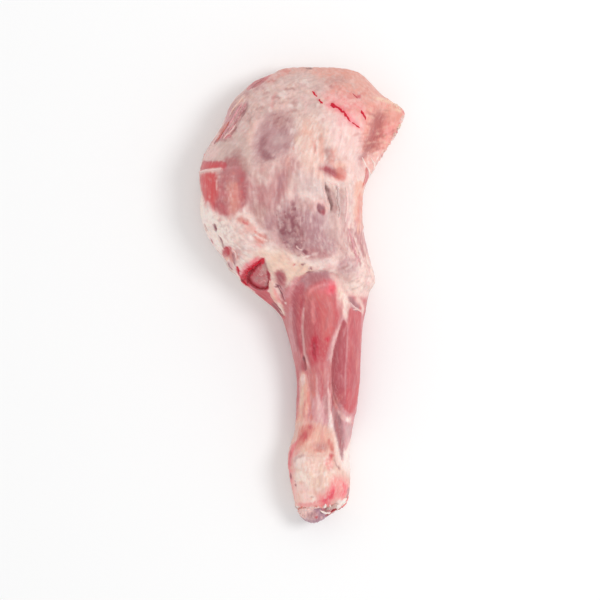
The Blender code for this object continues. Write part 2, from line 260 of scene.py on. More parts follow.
@dataclass(frozen=True)
class Grain:
    """Uneven cover: noise that is longer one way than across, and follows the comb of the flesh."""

    across: float  # size across, in millimetres
    along: float  # size along, in millimetres
    turn: float = 0  # angle of the long way from the comb's, in degrees, counter-clockwise
    low: float = -.2  # noise at which the cover starts
    high: float = .5  # noise at which the cover is full

    SHIFT = 7.3  # keeps grains of different sizes apart in the noise

    def noise(self, canvas: "Canvas", index: Array) -> Array:
        """Reads the grain's noise.

        Args:
            canvas: The skin's points.
            index: Numbers of the points that are wanted.

        Returns:
            Numbers from about -1 to 1.
        """
        turned = math.radians(self.turn)
        x, y, z = canvas.comb[index].T
        along = (y * math.cos(turned) - x * math.sin(turned)) / self.along
        across = (x * math.cos(turned) + y * math.sin(turned)) / self.across
        places = np.stack([along, across, z / self.across], axis=1) + self.across * self.SHIFT
        return canvas.noise.layered(places, octaves=2)

    def cover(self, canvas: "Canvas", index: Array) -> Array:
        """Share from 0 to 1 of the cover at points of a canvas."""
        return ease(self.low, self.high, self.noise(canvas, index))


@dataclass(frozen=True)
class Area:
    """A closed outline in pixels."""

    points: Path

    def depth(self, canvas: "Canvas", margin: float) -> tuple[Array, Array]:
        """Points near the outline, and how far inside it each lies, in pixels.

        Args:
            canvas: The skin's points.
            margin: How far outside the outline points are still wanted.

        Returns:
            The points' numbers, and their depths, negative outside.
        """
        loop = curve_through(self.points, closed=True, spacing=1.5)
        index = canvas.within(loop, margin)
        spots = canvas.pixels[index]
        apart = canvas.distance(spots, loop)[0]
        return index, np.where(inside(spots, loop), apart, -apart)


@dataclass(frozen=True)
class Line:
    """A path in pixels with a half width, which tapers off towards both ends."""

    points: Path
    width: float
    taper: float = .25  # share of its length over which each end tapers

    BLUNT = .04  # how much of the taper is cut off at the very end
    TIP = .35  # how far below nothing the width falls there, as a share of it

    def depth(self, canvas: "Canvas", margin: float) -> tuple[Array, Array]:
        """Points near the path, and how far inside its width each lies, in pixels.

        Args:
            canvas: The skin's points.
            margin: How far outside the width points are still wanted.

        Returns:
            The points' numbers, and their depths, negative outside.
        """
        path = curve_through(self.points)
        index = canvas.within(path, margin + self.width)
        apart, share = canvas.distance(canvas.pixels[index], path)
        ends = ease(0, self.taper, np.minimum(share, 1 - share) + self.BLUNT)
        return index, self.width * ((1 + self.TIP) * ends - self.TIP) - apart


@dataclass(frozen=True)
class Blob:
    """An ellipse in pixels: its middle, its half sizes and its turn, in degrees, clockwise in the picture."""

    x: float
    y: float
    wide: float
    high: float
    turn: float = 0

    def depth(self, canvas: "Canvas", margin: float) -> tuple[Array, Array]:
        """Points near the ellipse, and how far inside it each lies, in pixels.

        Args:
            canvas: The skin's points.
            margin: How far outside the ellipse points are still wanted.

        Returns:
            The points' numbers, and their depths, negative outside.
        """
        middle = np.array([[self.x, self.y]], float)
        index = canvas.within(middle, margin + max(self.wide, self.high))
        turned = math.radians(self.turn)
        x, y = (canvas.pixels[index] - middle).T
        u = (x * math.cos(turned) + y * math.sin(turned)) / self.wide
        v = (y * math.cos(turned) - x * math.sin(turned)) / self.high
        return index, (1 - np.hypot(u, v)) * min(self.wide, self.high)


Shape = Union[Area, Line, Blob]


def inside(spots: Array, loop: Array) -> Array:
    """Which spots lie in a closed loop.

    Args:
        spots: Pixels, one row each.
        loop: The loop's points.

    Returns:
        True where a spot is inside.
    """
    x, y = spots.T
    found = np.zeros(len(spots), bool)
    for (ax, ay), (bx, by) in zip(loop, np.roll(loop, -1, axis=0)):
        if ay != by:
            found ^= ((ay > y) != (by > y)) & (x < (bx - ax) * (y - ay) / (by - ay) + ax)
    return found


@dataclass(frozen=True)
class Paint:
    """One touch of paint."""

    name: str  # what it shows
    shape: Shape
    tint: Tint
    strength: float  # how much of what is under it it hides
    feather: float  # width of its soft edge, in pixels
    ragged: float = 1.5  # how far its edge wanders, in pixels
    grain: Grain | None = None  # uneven cover, if it has one
    under: bool = False  # whether it lies on the side that isn't seen from above

    def lay(self, canvas: "Canvas") -> None:
        """Lays the paint.

        Args:
            canvas: The canvas that gets it.
        """
        index, depth = self.shape.depth(canvas, self.feather + 2 * self.ragged)
        cover = ease(-self.feather / 2, self.feather / 2, depth + self.ragged * canvas.rough[index])
        side = 1 - canvas.upper[index] if self.under else canvas.upper[index]
        cover *= self.strength * side * canvas.thick[index]
        if self.grain is not None:
            cover *= self.grain.cover(canvas, index)
        canvas.mix(index, cover, self.tint)


def patch(name: str, tint: Tint, strength: float, feather: float, *outline: float, **more: object) -> Paint:
    """Paint inside an outline, which is given as the X and Y of its pixels in turn."""
    return Paint(name, Area(outline), tint, strength, feather, **more)


def stroke(name: str, tint: Tint, strength: float, feather: float, width: float, *path: float,
           taper: float = .25, **more: object) -> Paint:
    """Paint along a path, which is given as the X and Y of its pixels in turn."""
    return Paint(name, Line(path, width, taper), tint, strength, feather, **more)


def spot(name: str, tint: Tint, strength: float, feather: float, *blob: float, **more: object) -> Paint:
    """Paint in an ellipse, which is given as the fields of its blob."""
    return Paint(name, Blob(*blob), tint, strength, feather, **more)


@dataclass(frozen=True)
class Relief:
    """One change of the skin's height."""

    name: str  # what it shapes
    rise: float  # how far the skin moves out there, in millimetres, or in where it's negative
    slope: float  # width of its flank, in pixels
    shape: Shape
    ragged: float = .8  # how far its edge wanders, in pixels
    grain: Grain | None = None  # uneven rise, if it has one

    def press(self, canvas: "Canvas") -> None:
        """Adds the relief.

        Args:
            canvas: The canvas that gets it.
        """
        index, depth = self.shape.depth(canvas, self.slope + 2 * self.ragged)
        lifted = ease(-self.slope / 2, self.slope / 2, depth + self.ragged * canvas.rough[index])
        if self.grain is not None:
            lifted *= self.grain.cover(canvas, index)
        canvas.height[index] += self.rise * lifted * canvas.upper[index]


def swell(name: str, rise: float, slope: float, *outline: float, **more: object) -> Relief:
    """Relief inside an outline."""
    return Relief(name, rise, slope, Area(outline), **more)


def ridge(name: str, rise: float, slope: float, width: float, *path: float, taper: float = .25,
          **more: object) -> Relief:
    """Relief along a path: a ridge, or a groove where it goes in."""
    return Relief(name, rise, slope, Line(path, width, taper), **more)


def bump(name: str, rise: float, slope: float, *blob: float, **more: object) -> Relief:
    """Relief in an ellipse."""
    return Relief(name, rise, slope, Blob(*blob), **more)


LEFT_FLANK = (268, 66, 248, 88, 230, 112, 216, 140, 201, 160, 197, 190, 204, 222, 222, 256, 246, 285, 277,
    314, 287, 345, 295, 380, 296, 415, 289, 450, 289, 480, 296, 515)
RIGHT_FLANK = (352, 66, 366, 96, 364, 130, 362, 165, 365, 200, 364, 235, 373, 268, 366, 300, 362, 330, 361,
    380, 356, 415, 350, 445, 350, 485, 340, 515)


def flanks_at(rows: Array) -> tuple[Array, Array]:
    """Where the comb's edges are.

    Args:
        rows: Rows of the picture, in pixels down.

    Returns:
        The left edge and the right edge in each row, in pixels across.
    """
    sides = []
    for flank in (LEFT_FLANK, RIGHT_FLANK):
        across, down = curve_through(flank, spacing=4).T
        sides.append(np.interp(rows, down, across))
    return sides[0], sides[1]


def comb_way(spot_at: Array, angle: float) -> Array:
    """The comb's way down the picture.

    Args:
        spot_at: The pixel.
        angle: Turn from the comb, in radians, counter-clockwise.

    Returns:
        A way of length 1, across and down.
    """
    left, right = flanks_at(np.array([spot_at[1] - 2, spot_at[1] + 2]))
    share = (spot_at[0] - left.mean()) / (right.mean() - left.mean())
    lean = ((left[1] - left[0]) * (1 - share) + (right[1] - right[0]) * share) / 4
    way = np.array([lean, 1]) / math.hypot(lean, 1)
    return np.array([way[0] * math.cos(angle) + way[1] * math.sin(angle),
                     way[1] * math.cos(angle) - way[0] * math.sin(angle)])


@dataclass(frozen=True)
class Field:
    """Many small touches, combed over an outline, each with its own length, width and tint."""

    name: str  # what it shows
    count: int
    length: tuple[float, float]  # the shortest and the longest, in pixels
    width: float  # half the width of a middling one, in pixels
    strength: float  # how much of what is under it a middling one hides
    rise: float  # how far it stands out, in millimetres, or lies in where it's negative
    tints: tuple[Tint, ...]
    outline: Path  # where they start
    turn: float = 0  # angle from the comb, in degrees, counter-clockwise

    SWAY = 9  # how far a touch and each of its steps stray from the comb, in degrees
    STEPS = 3
    EDGE_PX = 1.2  # half the width of a touch's soft edge
    ROUGH_PX = .4  # how far the edge wanders

    def lay(self, canvas: "Canvas") -> None:
        """Draws the touches and lays them.

        Args:
            canvas: The canvas that gets them.
        """
        draw = np.random.default_rng(self.count)
        loop = curve_through(self.outline, closed=True, spacing=3)
        spots = draw.uniform(loop.min(axis=0), loop.max(axis=0), size=(self.count * 8, 2))
        for place in spots[inside(spots, loop)][:self.count]:
            step = draw.uniform(*self.length) / self.STEPS
            angle = math.radians(self.turn + draw.normal(0, self.SWAY))
            path = [place]
            for _ in range(self.STEPS):
                angle += math.radians(draw.normal(0, self.SWAY))
                place = place + comb_way(place, angle) * step
                path.append(place)
            width = self.width * draw.uniform(.5, 1.5)
            index, depth = Line(np.array(path), width, .5).depth(canvas, 1.5)
            edge = ease(-self.EDGE_PX, self.EDGE_PX, depth + self.ROUGH_PX * canvas.rough[index])
            cover = edge * canvas.upper[index]
            canvas.height[index] += self.rise * cover
            cover *= self.strength * draw.uniform(.5, 1.4)
            canvas.mix(index, cover, self.tints[draw.integers(len(self.tints))])


class Canvas:
    """The points of one skin with what the brushes lay on them.

    The comb is the way in which fibres and strands run: along the leg, drawn together where it narrows.
    """

    COMB_MM = 42.0  # half the comb's width
    EDGE_GRAIN = Grain(1.8, 5.5)
    BROAD_GRAIN = Grain(8, 12)
    FINE_SHARE, BROAD_SHARE = .75, .5  # how strongly each of the two makes edges wander
    THIN_GRAIN = Grain(1.8, 4.5, -12, .05, .75)
    THINNEST = .35  # how much weaker paint gets in the thin grain

    UPPER = (-.4, .05)  # how far up a place looks where the upper side's paint starts, and where it's full
    STEEP = (-.75, -.25)  # the same where paint is looked up further out
    RIM_MM = 2.0  # how far below the open sky that starts
    DEEPEST_MM = 40  # the longest way down that counts
    UNROLLED = .6  # share of the way down by which it moves out
    WANDER_PIXELS = 5.0
    WANDERING_MM = 8  # way down at which the wander is full
    WANDERS = ((11, 3), (13, 31))  # size in millimetres and shift of the wander across and down

    def __init__(self, points: Array, normals: Array, below: Array, base: Tint, seed: int) -> None:
        """Starts a canvas of one tint.

        Args:
            points: The skin's points in metres.
            normals: The skin's directions at those points.
            below: Each point's way down from what is open to the sky, in metres.
            base: Its first tint.
            seed: Seed of its noise.
        """
        self.points = points
        self.pixels = PLAN.pixels(points)
        self.upper = ease(*self.UPPER, normals[:, 2])
        self.noise = GradientNoise(seed)
        self.comb = self.combed()
        self.pixels = self.pixels + self.over_the_rim(normals, below)
        self.every = np.arange(len(points))
        broad = self.BROAD_GRAIN.noise(self, self.every)
        self.rough = self.FINE_SHARE * self.EDGE_GRAIN.noise(self, self.every) + self.BROAD_SHARE * broad
        self.thick = 1 - self.THINNEST * self.THIN_GRAIN.cover(self, self.every)
        self.colour = np.tile(base.colour, (len(points), 1))
        self.bare = np.full(len(points), base.value[3], float)
        self.wet = np.full(len(points), base.value[4], float)
        self.height = np.zeros(len(points))

    def combed(self) -> Array:
        """Lays the comb over the points.

        Returns:
            Each point's place across the comb, along it and up, in millimetres.
        """
        left, right = flanks_at(self.pixels[:, 1])
        share = 2 * (self.pixels[:, 0] - left) / (right - left) - 1
        return np.stack([share * self.COMB_MM, self.points[:, 1] / MM, self.points[:, 2] / MM], axis=1)

    def over_the_rim(self, normals: Array, below: Array) -> Array:
        """Looks the paint of steep places up further out, so that it ends there unevenly.

        Args:
            normals: The skin's directions.
            below: Each point's way down from what is open to the sky, in metres.

        Returns:
            Each point's shift in pixels.
        """
        down = np.clip(below / MM - self.RIM_MM, 0, self.DEEPEST_MM) * ease(*self.STEEP, normals[:, 2])
        out = units(normals[:, :2] * (1, -1), .2)
        wander = np.stack([self.noise.layered(self.points / MM / size + shift)
                           for size, shift in self.WANDERS], axis=1)
        return (out * down[:, None] * self.UNROLLED * MM / PLAN.pixel_m
                + wander * self.WANDER_PIXELS * ease(0, self.WANDERING_MM, down)[:, None])

    def within(self, path: Array, margin: float) -> Array:
        """Numbers of the points whose pixels lie in a path's box, with a margin round it."""
        low, high = path.min(axis=0) - margin, path.max(axis=0) + margin
        return np.flatnonzero(np.all((self.pixels >= low) & (self.pixels <= high), axis=1))

    @staticmethod
    def distance(spots: Array, path: Array) -> tuple[Array, Array]:
        """Measures spots against a path.

        Args:
            spots: Pixels, one row each.
            path: The path's points.

        Returns:
            Each spot's distance in pixels, and how far along the path, from 0 to 1, it is nearest.
        """
        nearest = np.zeros(len(spots), int)
        least = np.full(len(spots), np.inf)
        for number, point in enumerate(path):
            apart = (spots[:, 0] - point[0]) ** 2 + (spots[:, 1] - point[1]) ** 2
            closer = apart < least
            least[closer] = apart[closer]
            nearest[closer] = number
        return np.sqrt(least), nearest / max(1, len(path) - 1)

    def mix(self, index: Array, cover: Union[Array, float], tint: Tint) -> None:
        """Mixes a tint into what lies on some points.

        Args:
            index: The points' numbers.
            cover: How much of the tint each gets.
            tint: The tint.
        """
        cover = np.broadcast_to(cover, len(index))
        self.colour[index] += (tint.colour - self.colour[index]) * cover[:, None]
        self.bare[index] += (tint.value[3] - self.bare[index]) * cover
        self.wet[index] += (tint.value[4] - self.wet[index]) * cover


BLOTCHES = Grain(4.5, 6.5)
MOTTLES = Grain(2.6, 4.2, -50, -.05, .55)
SPECKS = Grain(1.4, 1.9, 0, .25, .65)
STRANDS = Grain(1.3, 15, 0, 0, .5)
FINE_STRANDS = Grain(.9, 9, 0, 0, .45)
FLAP_STRANDS = Grain(1.2, 7, -98, -.1, .45)
CREASES = Grain(2.3, 7.5, -66, -.05, .55)
FOLDS = Grain(4, 9, -22)
WRINKLES = Grain(2, 5.5, -60)
FIBRES = Grain(1.3, 24)

UPPER_COVER = (283, 62, 257, 73, 240, 93, 232, 116, 228, 142, 240, 162, 258, 172, 275, 152, 300, 134, 318,
    114, 324, 90, 305, 62)
BLUSH_PATCH = (322, 96, 332, 112, 346, 130, 362, 132, 372, 118, 360, 100, 340, 92)
FLAP = (366, 108, 378, 101, 394, 94, 412, 98, 424, 112, 417, 130, 410, 144, 402, 157, 393, 169, 374, 174, 364,
    162, 361, 142, 365, 124)
FLAP_VALLEY = (378, 112, 379, 121, 377, 132, 373, 143, 365, 153)
FLAP_RIM = (404, 117, 399, 128, 393, 141, 388, 150, 384, 160, 377, 170)
TORN_STRIPS = (248, 90, 236, 98, 226, 113, 219, 126, 209, 141, 224, 141, 234, 133, 242, 118, 248, 104)
RED_STRIP = (190, 162, 212, 161, 225, 162, 225, 169, 212, 170, 190, 171)
BARE_EDGE = (197, 173, 206, 170.5, 214, 169.5, 222, 168.5)
BARE = (190, 176, 215, 173, 237, 169, 247, 176, 248, 192, 244, 205, 237, 212, 231, 217, 217, 217, 212, 210,
    206, 205, 201, 197, 194, 186)
SLIT = (325.5, 183, 327.5, 190, 330, 198, 331.5, 205, 331, 212)
GREY_FOLD = (341, 186, 342, 197, 341, 208, 343, 222)
PURPLE = (278, 208, 290, 200, 308, 203, 320, 216, 331, 230, 336, 248, 324, 259, 308, 258, 294, 253, 281, 248,
    273, 236, 272, 218)
PURPLE_HEART = (282, 214, 292, 210, 302, 224, 306, 240, 300, 250, 286, 246, 277, 234)
BLOOD_POCKET = (262, 258, 266, 265, 268.5, 274, 269, 284, 266, 288.5, 258, 287.5, 251, 284, 248, 277, 251,
    270, 257, 263)
POCKET_RIM = (248, 275, 250, 282, 256, 287.5, 264, 289, 268.5, 286, 269, 278, 267, 270)
WEDGE = (243, 284, 256, 290, 268, 292, 274, 300, 286, 319, 270, 308, 256, 297)
CREAM_STRIP = (268, 280, 273, 283, 277, 294, 284, 308, 285, 316, 278, 308, 271, 296)
FOLD = (277, 270, 283, 271.5, 286, 279, 285, 290, 281, 290, 276, 282, 274.5, 276)
FOLD_LINE = (275, 284, 279, 288, 282, 294, 285, 302)
KNEE_BAND = (292, 306, 294, 290, 300, 280, 308, 273.5, 320, 271, 330, 273, 334, 279, 331, 284, 316, 283, 308,
    289, 304, 301, 299, 313)
MAIN_BELLY = (307, 291, 316, 283, 330, 279, 338, 286, 340, 300, 340, 312, 336, 325, 331, 338, 328, 352, 323,
    370, 312, 370, 306, 348, 304, 325, 304, 305)
SECOND_BELLY = (294, 291, 303, 284, 304, 300, 302, 325, 304, 352, 300, 358, 294, 338, 291, 312)
BELLY_SHEATH = (304.5, 300, 303.5, 312, 303, 330, 304.5, 350, 308, 362, 314, 376)
RIGHT_MUSCLE = (343, 320, 347, 326, 347, 345, 346, 402, 341, 406, 335, 399, 331, 380, 333, 352, 339, 332)
OUTER_MUSCLE = (349, 311, 366, 308, 378, 330, 378, 370, 370, 398, 358, 414, 345, 413, 346, 395, 348, 350)
MUSCLE_SEAM = (347, 321, 347, 345, 345.5, 370, 345, 404)
V_END = (333, 386, 337, 400, 342, 409, 349, 415, 354, 412, 357, 402)
TENDON = (301, 372, 307, 376, 309, 395, 308, 412, 304, 426, 296, 428, 298, 410, 300, 395)
WHITE_BAND = (331, 412, 334, 426, 337, 442, 341, 460, 349, 478, 342, 480, 334, 464, 331, 447, 328, 428)
KNUCKLE_BLUSH = (334, 477, 347, 480, 350, 492, 346, 501, 336, 499, 328, 502, 316, 502, 328, 489)
ROUND_IT = (150, 40, 440, 40, 440, 560, 150, 560)

FLANK_PAINT = (
    patch("pink of the film", PALE_PINK, .6, 20, *ROUND_IT, ragged=3, grain=Grain(7, 16, -20, -.3, .4)),
    patch("rosy muscle through it", FASCIA, .45, 20, *ROUND_IT, ragged=3, grain=Grain(6, 18, 8, .1, .75)),
    patch("greyish creases", GREY_BEIGE, .45, 20, *ROUND_IT, ragged=3, grain=CREASES),
    patch("fat in the film", FAT_WHITE, .6, 20, *ROUND_IT, ragged=3, grain=Grain(3, 7, 30, 0, .5)),
)
UPPER_PAINT = (
    patch("film over the upper thigh", GREY_BEIGE, .85, 24, *UPPER_COVER, ragged=4),
    patch("salmon corner", SALMON, .8, 16, 322, 54, 356, 56, 378, 70, 396, 88, 384, 112, 368, 112, 352, 104,
        338, 96, 326, 86, 316, 78, ragged=3),
    patch("salmon top edge", SALMON, .6, 8, 256, 74, 274, 62, 300, 56, 354, 57, 366, 70, 340, 76, 300, 73,
        280, 78, 268, 86, ragged=2),
    spot("beige under the edge", GREY_BEIGE, .5, 7, 318, 83, 16, 6),
    patch("blush", BLUSH, .7, 18, *BLUSH_PATCH, ragged=3),
    patch("peach middle", PEACH, .9, 16, 296, 124, 298, 150, 304, 172, 318, 174, 324, 146, 321, 122, 308, 114,
        ragged=3),
    patch("pale column", PALE_PINK, .85, 12, 330, 118, 332, 140, 344, 168, 364, 176, 372, 150, 366, 128, 347,
        114, ragged=2.5),
    patch("brown blotches", BROWN_ROSE, .35, 20, *UPPER_COVER, ragged=3, grain=MOTTLES),
    patch("pale creases", PALE_PINK, .4, 20, *UPPER_COVER, ragged=3, grain=CREASES),
    patch("blotches by the edge", GREY_BEIGE, .55, 8, 286, 70, 330, 72, 372, 92, 366, 104, 330, 92, 290, 84,
        ragged=2, grain=MOTTLES),
    patch("strands in the blush", PALE_PINK, .5, 12, *BLUSH_PATCH, ragged=2, grain=STRANDS),
    spot("rosy spot", DUSTY_ROSE, .75, 2.6, 331, 86, 2.6, 2),
    spot("brown beside it", BROWN_ROSE, .5, 6, 338, 80, 8, 4),
    spot("halo of the spot", ROSE_SALMON, .15, 6, 334, 86, 7, 4),
    spot("dark nick on top", SHADOW, .8, 1.6, 309, 68.5, 3.2, 1.1),
    stroke("halo of the first streak", HOT_PINK, .55, 4, 1.6, 310, 90, 316, 95, 322, 103),
    stroke("halo of the second streak", HOT_PINK, .46, 5.5, 2.8, 324, 104, 332, 106, 340, 109, 347, 115, 353,
        122, 362, 130),
    spot("pink below the second streak", HOT_PINK, .12, 6, 344, 121, 6, 8, 40),
    stroke("halo of the third streak", ROSE_SALMON, .6, 3.5, 1.6, 350, 91, 355, 97, 359, 98),
    spot("dark end of the third streak", ROSE_MUSCLE, .8, 2.2, 359, 97, 1.9, 2.4),
    stroke("halo of the fourth streak", HOT_PINK, .45, 4, 1.6, 360, 108, 364, 115, 367, 122),
)
HOLLOW_PAINT = (
    patch("hollow", MAUVE, .66, 20, 258, 126, 251, 146, 256, 162, 272, 160, 290, 151, 294, 136, 287, 116, 271,
        112, ragged=3),
    spot("brown-rose shoulder", BROWN_ROSE, .8, 9, 280, 120, 9, 7, ragged=3),
    spot("its dark mottles", DARK_MAUVE, .65, 7, 280, 120, 9, 7, ragged=2, grain=MOTTLES),
    spot("light inside", GREY_PINK, .5, 9, 279, 139, 8, 6, -20, ragged=2),
    # painted shade along the hollow's steep left side: the dark crescent and the upper and lower dark spots
    stroke("dark crescent", DARK_MAUVE, .78, 8, 3.4, 267, 133, 263, 140, 262, 148, 266, 156, 275, 158),
    spot("upper dark spot", DARK_MAUVE, .5, 4, 263, 142, 2.8, 3.2),
    spot("lower dark spot", DARK_MAUVE, .6, 4.5, 266, 153, 3.4, 3.4),
    spot("right dark spot", DARK_MAUVE, .5, 4, 287, 146, 3, 3),
    spot("brown fleck", DARK_MAUVE, .7, 2, 287, 120, 2, 1.4),
    # painted highlight: a small glint of the moist film
    spot("painted glint", FAT_WHITE, .4, 4, 293, 131, 4, 2.4),
    spot("mauve beside it", DARK_MAUVE, .45, 6, 284, 132, 4.5, 4.5),
    spot("peach right of it", ORANGE_FAT, .5, 5, 307, 132, 7, 4),
    spot("yellowish streak", YELLOW_FAT, .65, 4, 298, 141, 2.5, 4.5),
    spot("orange dot", ROSE_SALMON, .85, 1.6, 293.5, 148, 1.6, 1.4),
    stroke("pale lip of the hollow", PALE_PINK, .65, 6, 3.2, 250, 166, 262, 170, 276, 163, 290, 155,
        ragged=2),
    # painted light: peach along the ridge beside the hollow, where it catches the lamp
    stroke("ridge left of the hollow", PEACH, .75, 7, 3.2, 258, 112, 252, 130, 247, 150, 246, 172, ragged=2),
    patch("greyish columns", BROWN_ROSE, .55, 16, 254, 168, 254, 208, 292, 208, 300, 170, 290, 158, 272, 164,
        ragged=3),
    spot("rose patch under the hollow", DUSTY_ROSE, .8, 10, 290, 164, 7, 9, -20, ragged=2.5),
    patch("rose column", DUSTY_ROSE, .95, 11, 277, 172, 273, 190, 270, 208, 280, 206, 286, 190, 288, 174,
        ragged=2.5),
    stroke("its dark middle", MAUVE, .7, 7, 3, 284, 172, 279, 186, 274, 204, ragged=2),
    stroke("left rose column", DUSTY_ROSE, .85, 7, 3.5, 262, 184, 261, 196, 261, 208, ragged=2),
    stroke("upper glint", FAT_WHITE, .8, 1.2, .8, 251, 193, 254, 192, 257, 194),
    stroke("lower glint", FAT_WHITE, .8, 1.2, .8, 250, 198, 253, 200, 256, 199),
    stroke("peach stripe", ROSE_SALMON, .5, 2.5, 1.4, 314, 134, 315, 146, 316, 156),
    stroke("cream stripe", FAT_WHITE, .65, 2, 1.2, 317, 138, 318, 150, 319, 162),
    stroke("salmon stripe", SALMON, .55, 3, 1.8, 321, 134, 322, 148, 323, 160),
    stroke("brown stripe", BROWN_ROSE, .65, 3, 2.2, 326, 146, 327, 157, 327, 167),
    stroke("rose stripe", ROSE_SALMON, .5, 4, 3, 331, 148, 332, 158, 333, 168),
    patch("veil over the middle", FAT_WHITE, .46, 12, 294, 120, 298, 176, 350, 176, 344, 122, ragged=2,
        grain=STRANDS),
    patch("veil over the columns", PALE_PINK, .34, 12, 250, 164, 250, 214, 304, 214, 304, 160, ragged=2,
        grain=STRANDS),
    stroke("light between the columns", PALE_PINK, .7, 4, 2, 271, 172, 268, 188, 267, 208),
    stroke("light right of the columns", PALE_PINK, .65, 6, 3, 304, 168, 297, 186, 291, 204),
    patch("rose left of the columns", DUSTY_ROSE, .62, 9, 246, 186, 262, 185, 277, 184, 278, 204, 262, 210,
        248, 210, ragged=2.5),
    stroke("light by the dark muscle", CREAM, .65, 4, 2, 294, 176, 291, 190, 288, 203),
    stroke("bright line by the dark muscle", CREAM, .7, 3, 1.6, 292, 190, 291, 198, 288, 206),
    spot("salmon left of the pocket", SALMON, .45, 4, 321, 157, 3, 6),
    spot("grey left of the slit", GREY_BEIGE, .65, 5, 315, 187, 4.5, 10),
)
POCKET_PAINT = (
    patch("grey-pink film", GREY_PINK, .85, 14, 300, 174, 322, 180, 346, 186, 350, 205, 344, 224, 325, 216,
        312, 196, 298, 196, 294, 186, ragged=2.5),
    spot("orange fat over the pocket", ORANGE_FAT, .85, 4.5, 340, 167, 6, 5),
    patch("salmon bump", ROSE_SALMON, .75, 3.5, 333, 171, 338, 167, 345, 169, 347, 175, 343, 181, 337, 177,
        ragged=1),
    spot("brown right end of the pocket", ROSE_SALMON, .8, 4, 338, 176, 6, 4, 30),
    # dusty rose round the pocket, partly painted shade at its mouth
    spot("rose round the pocket", DUSTY_ROSE, .8, 5, 328, 170.5, 9, 5.5, 20),
    # painted shade inside the pocket
    stroke("pocket", DEEP_MUSCLE, .8, 4, 2.2, 320, 169, 326, 169, 331, 171.5, 335, 175, 339, 178, taper=.3,
        ragged=1.2),
    # painted shade, deepest in the pocket's middle
    stroke("its dark middle", PLUM, .7, 2.2, .9, 324, 170, 329, 171, 333, 174),
    stroke("white lip under it", FAT_WHITE, .6, 3, 1.6, 326, 181, 331, 183, 336, 185, 341, 189),
    # painted shade on the slit's right wall
    patch("hollow right of the slit", BROWN_ROSE, .7, 4, 329, 190, 333, 191, 337, 199, 338, 209, 334, 213,
        331, 204),
    patch("light over the slit", CREAM, .55, 4, 326, 181, 340, 184, 342, 192, 334, 192),
    # painted shade inside the slit
    stroke("dark of the slit", DARK_MAUVE, .8, 3, 1.5, 326, 186, 328.5, 195, 331, 204, 332.5, 210),
    stroke("slit", SHADOW, .95, 1.8, 1, *SLIT, ragged=.6),
    stroke("white ridge right of the slit", FAT_WHITE, .65, 2.6, 1.7, 338, 186, 338, 197, 340, 209, 339, 219),
    stroke("grey fold", BROWN_ROSE, .5, 4, 2, *GREY_FOLD),
    stroke("pale ridge", PALE_PINK, .75, 2.4, 1.6, 346, 188, 347, 204, 346, 222),
    spot("its halo", BLUSH, .3, 5, 321, 208, 7, 8),
)
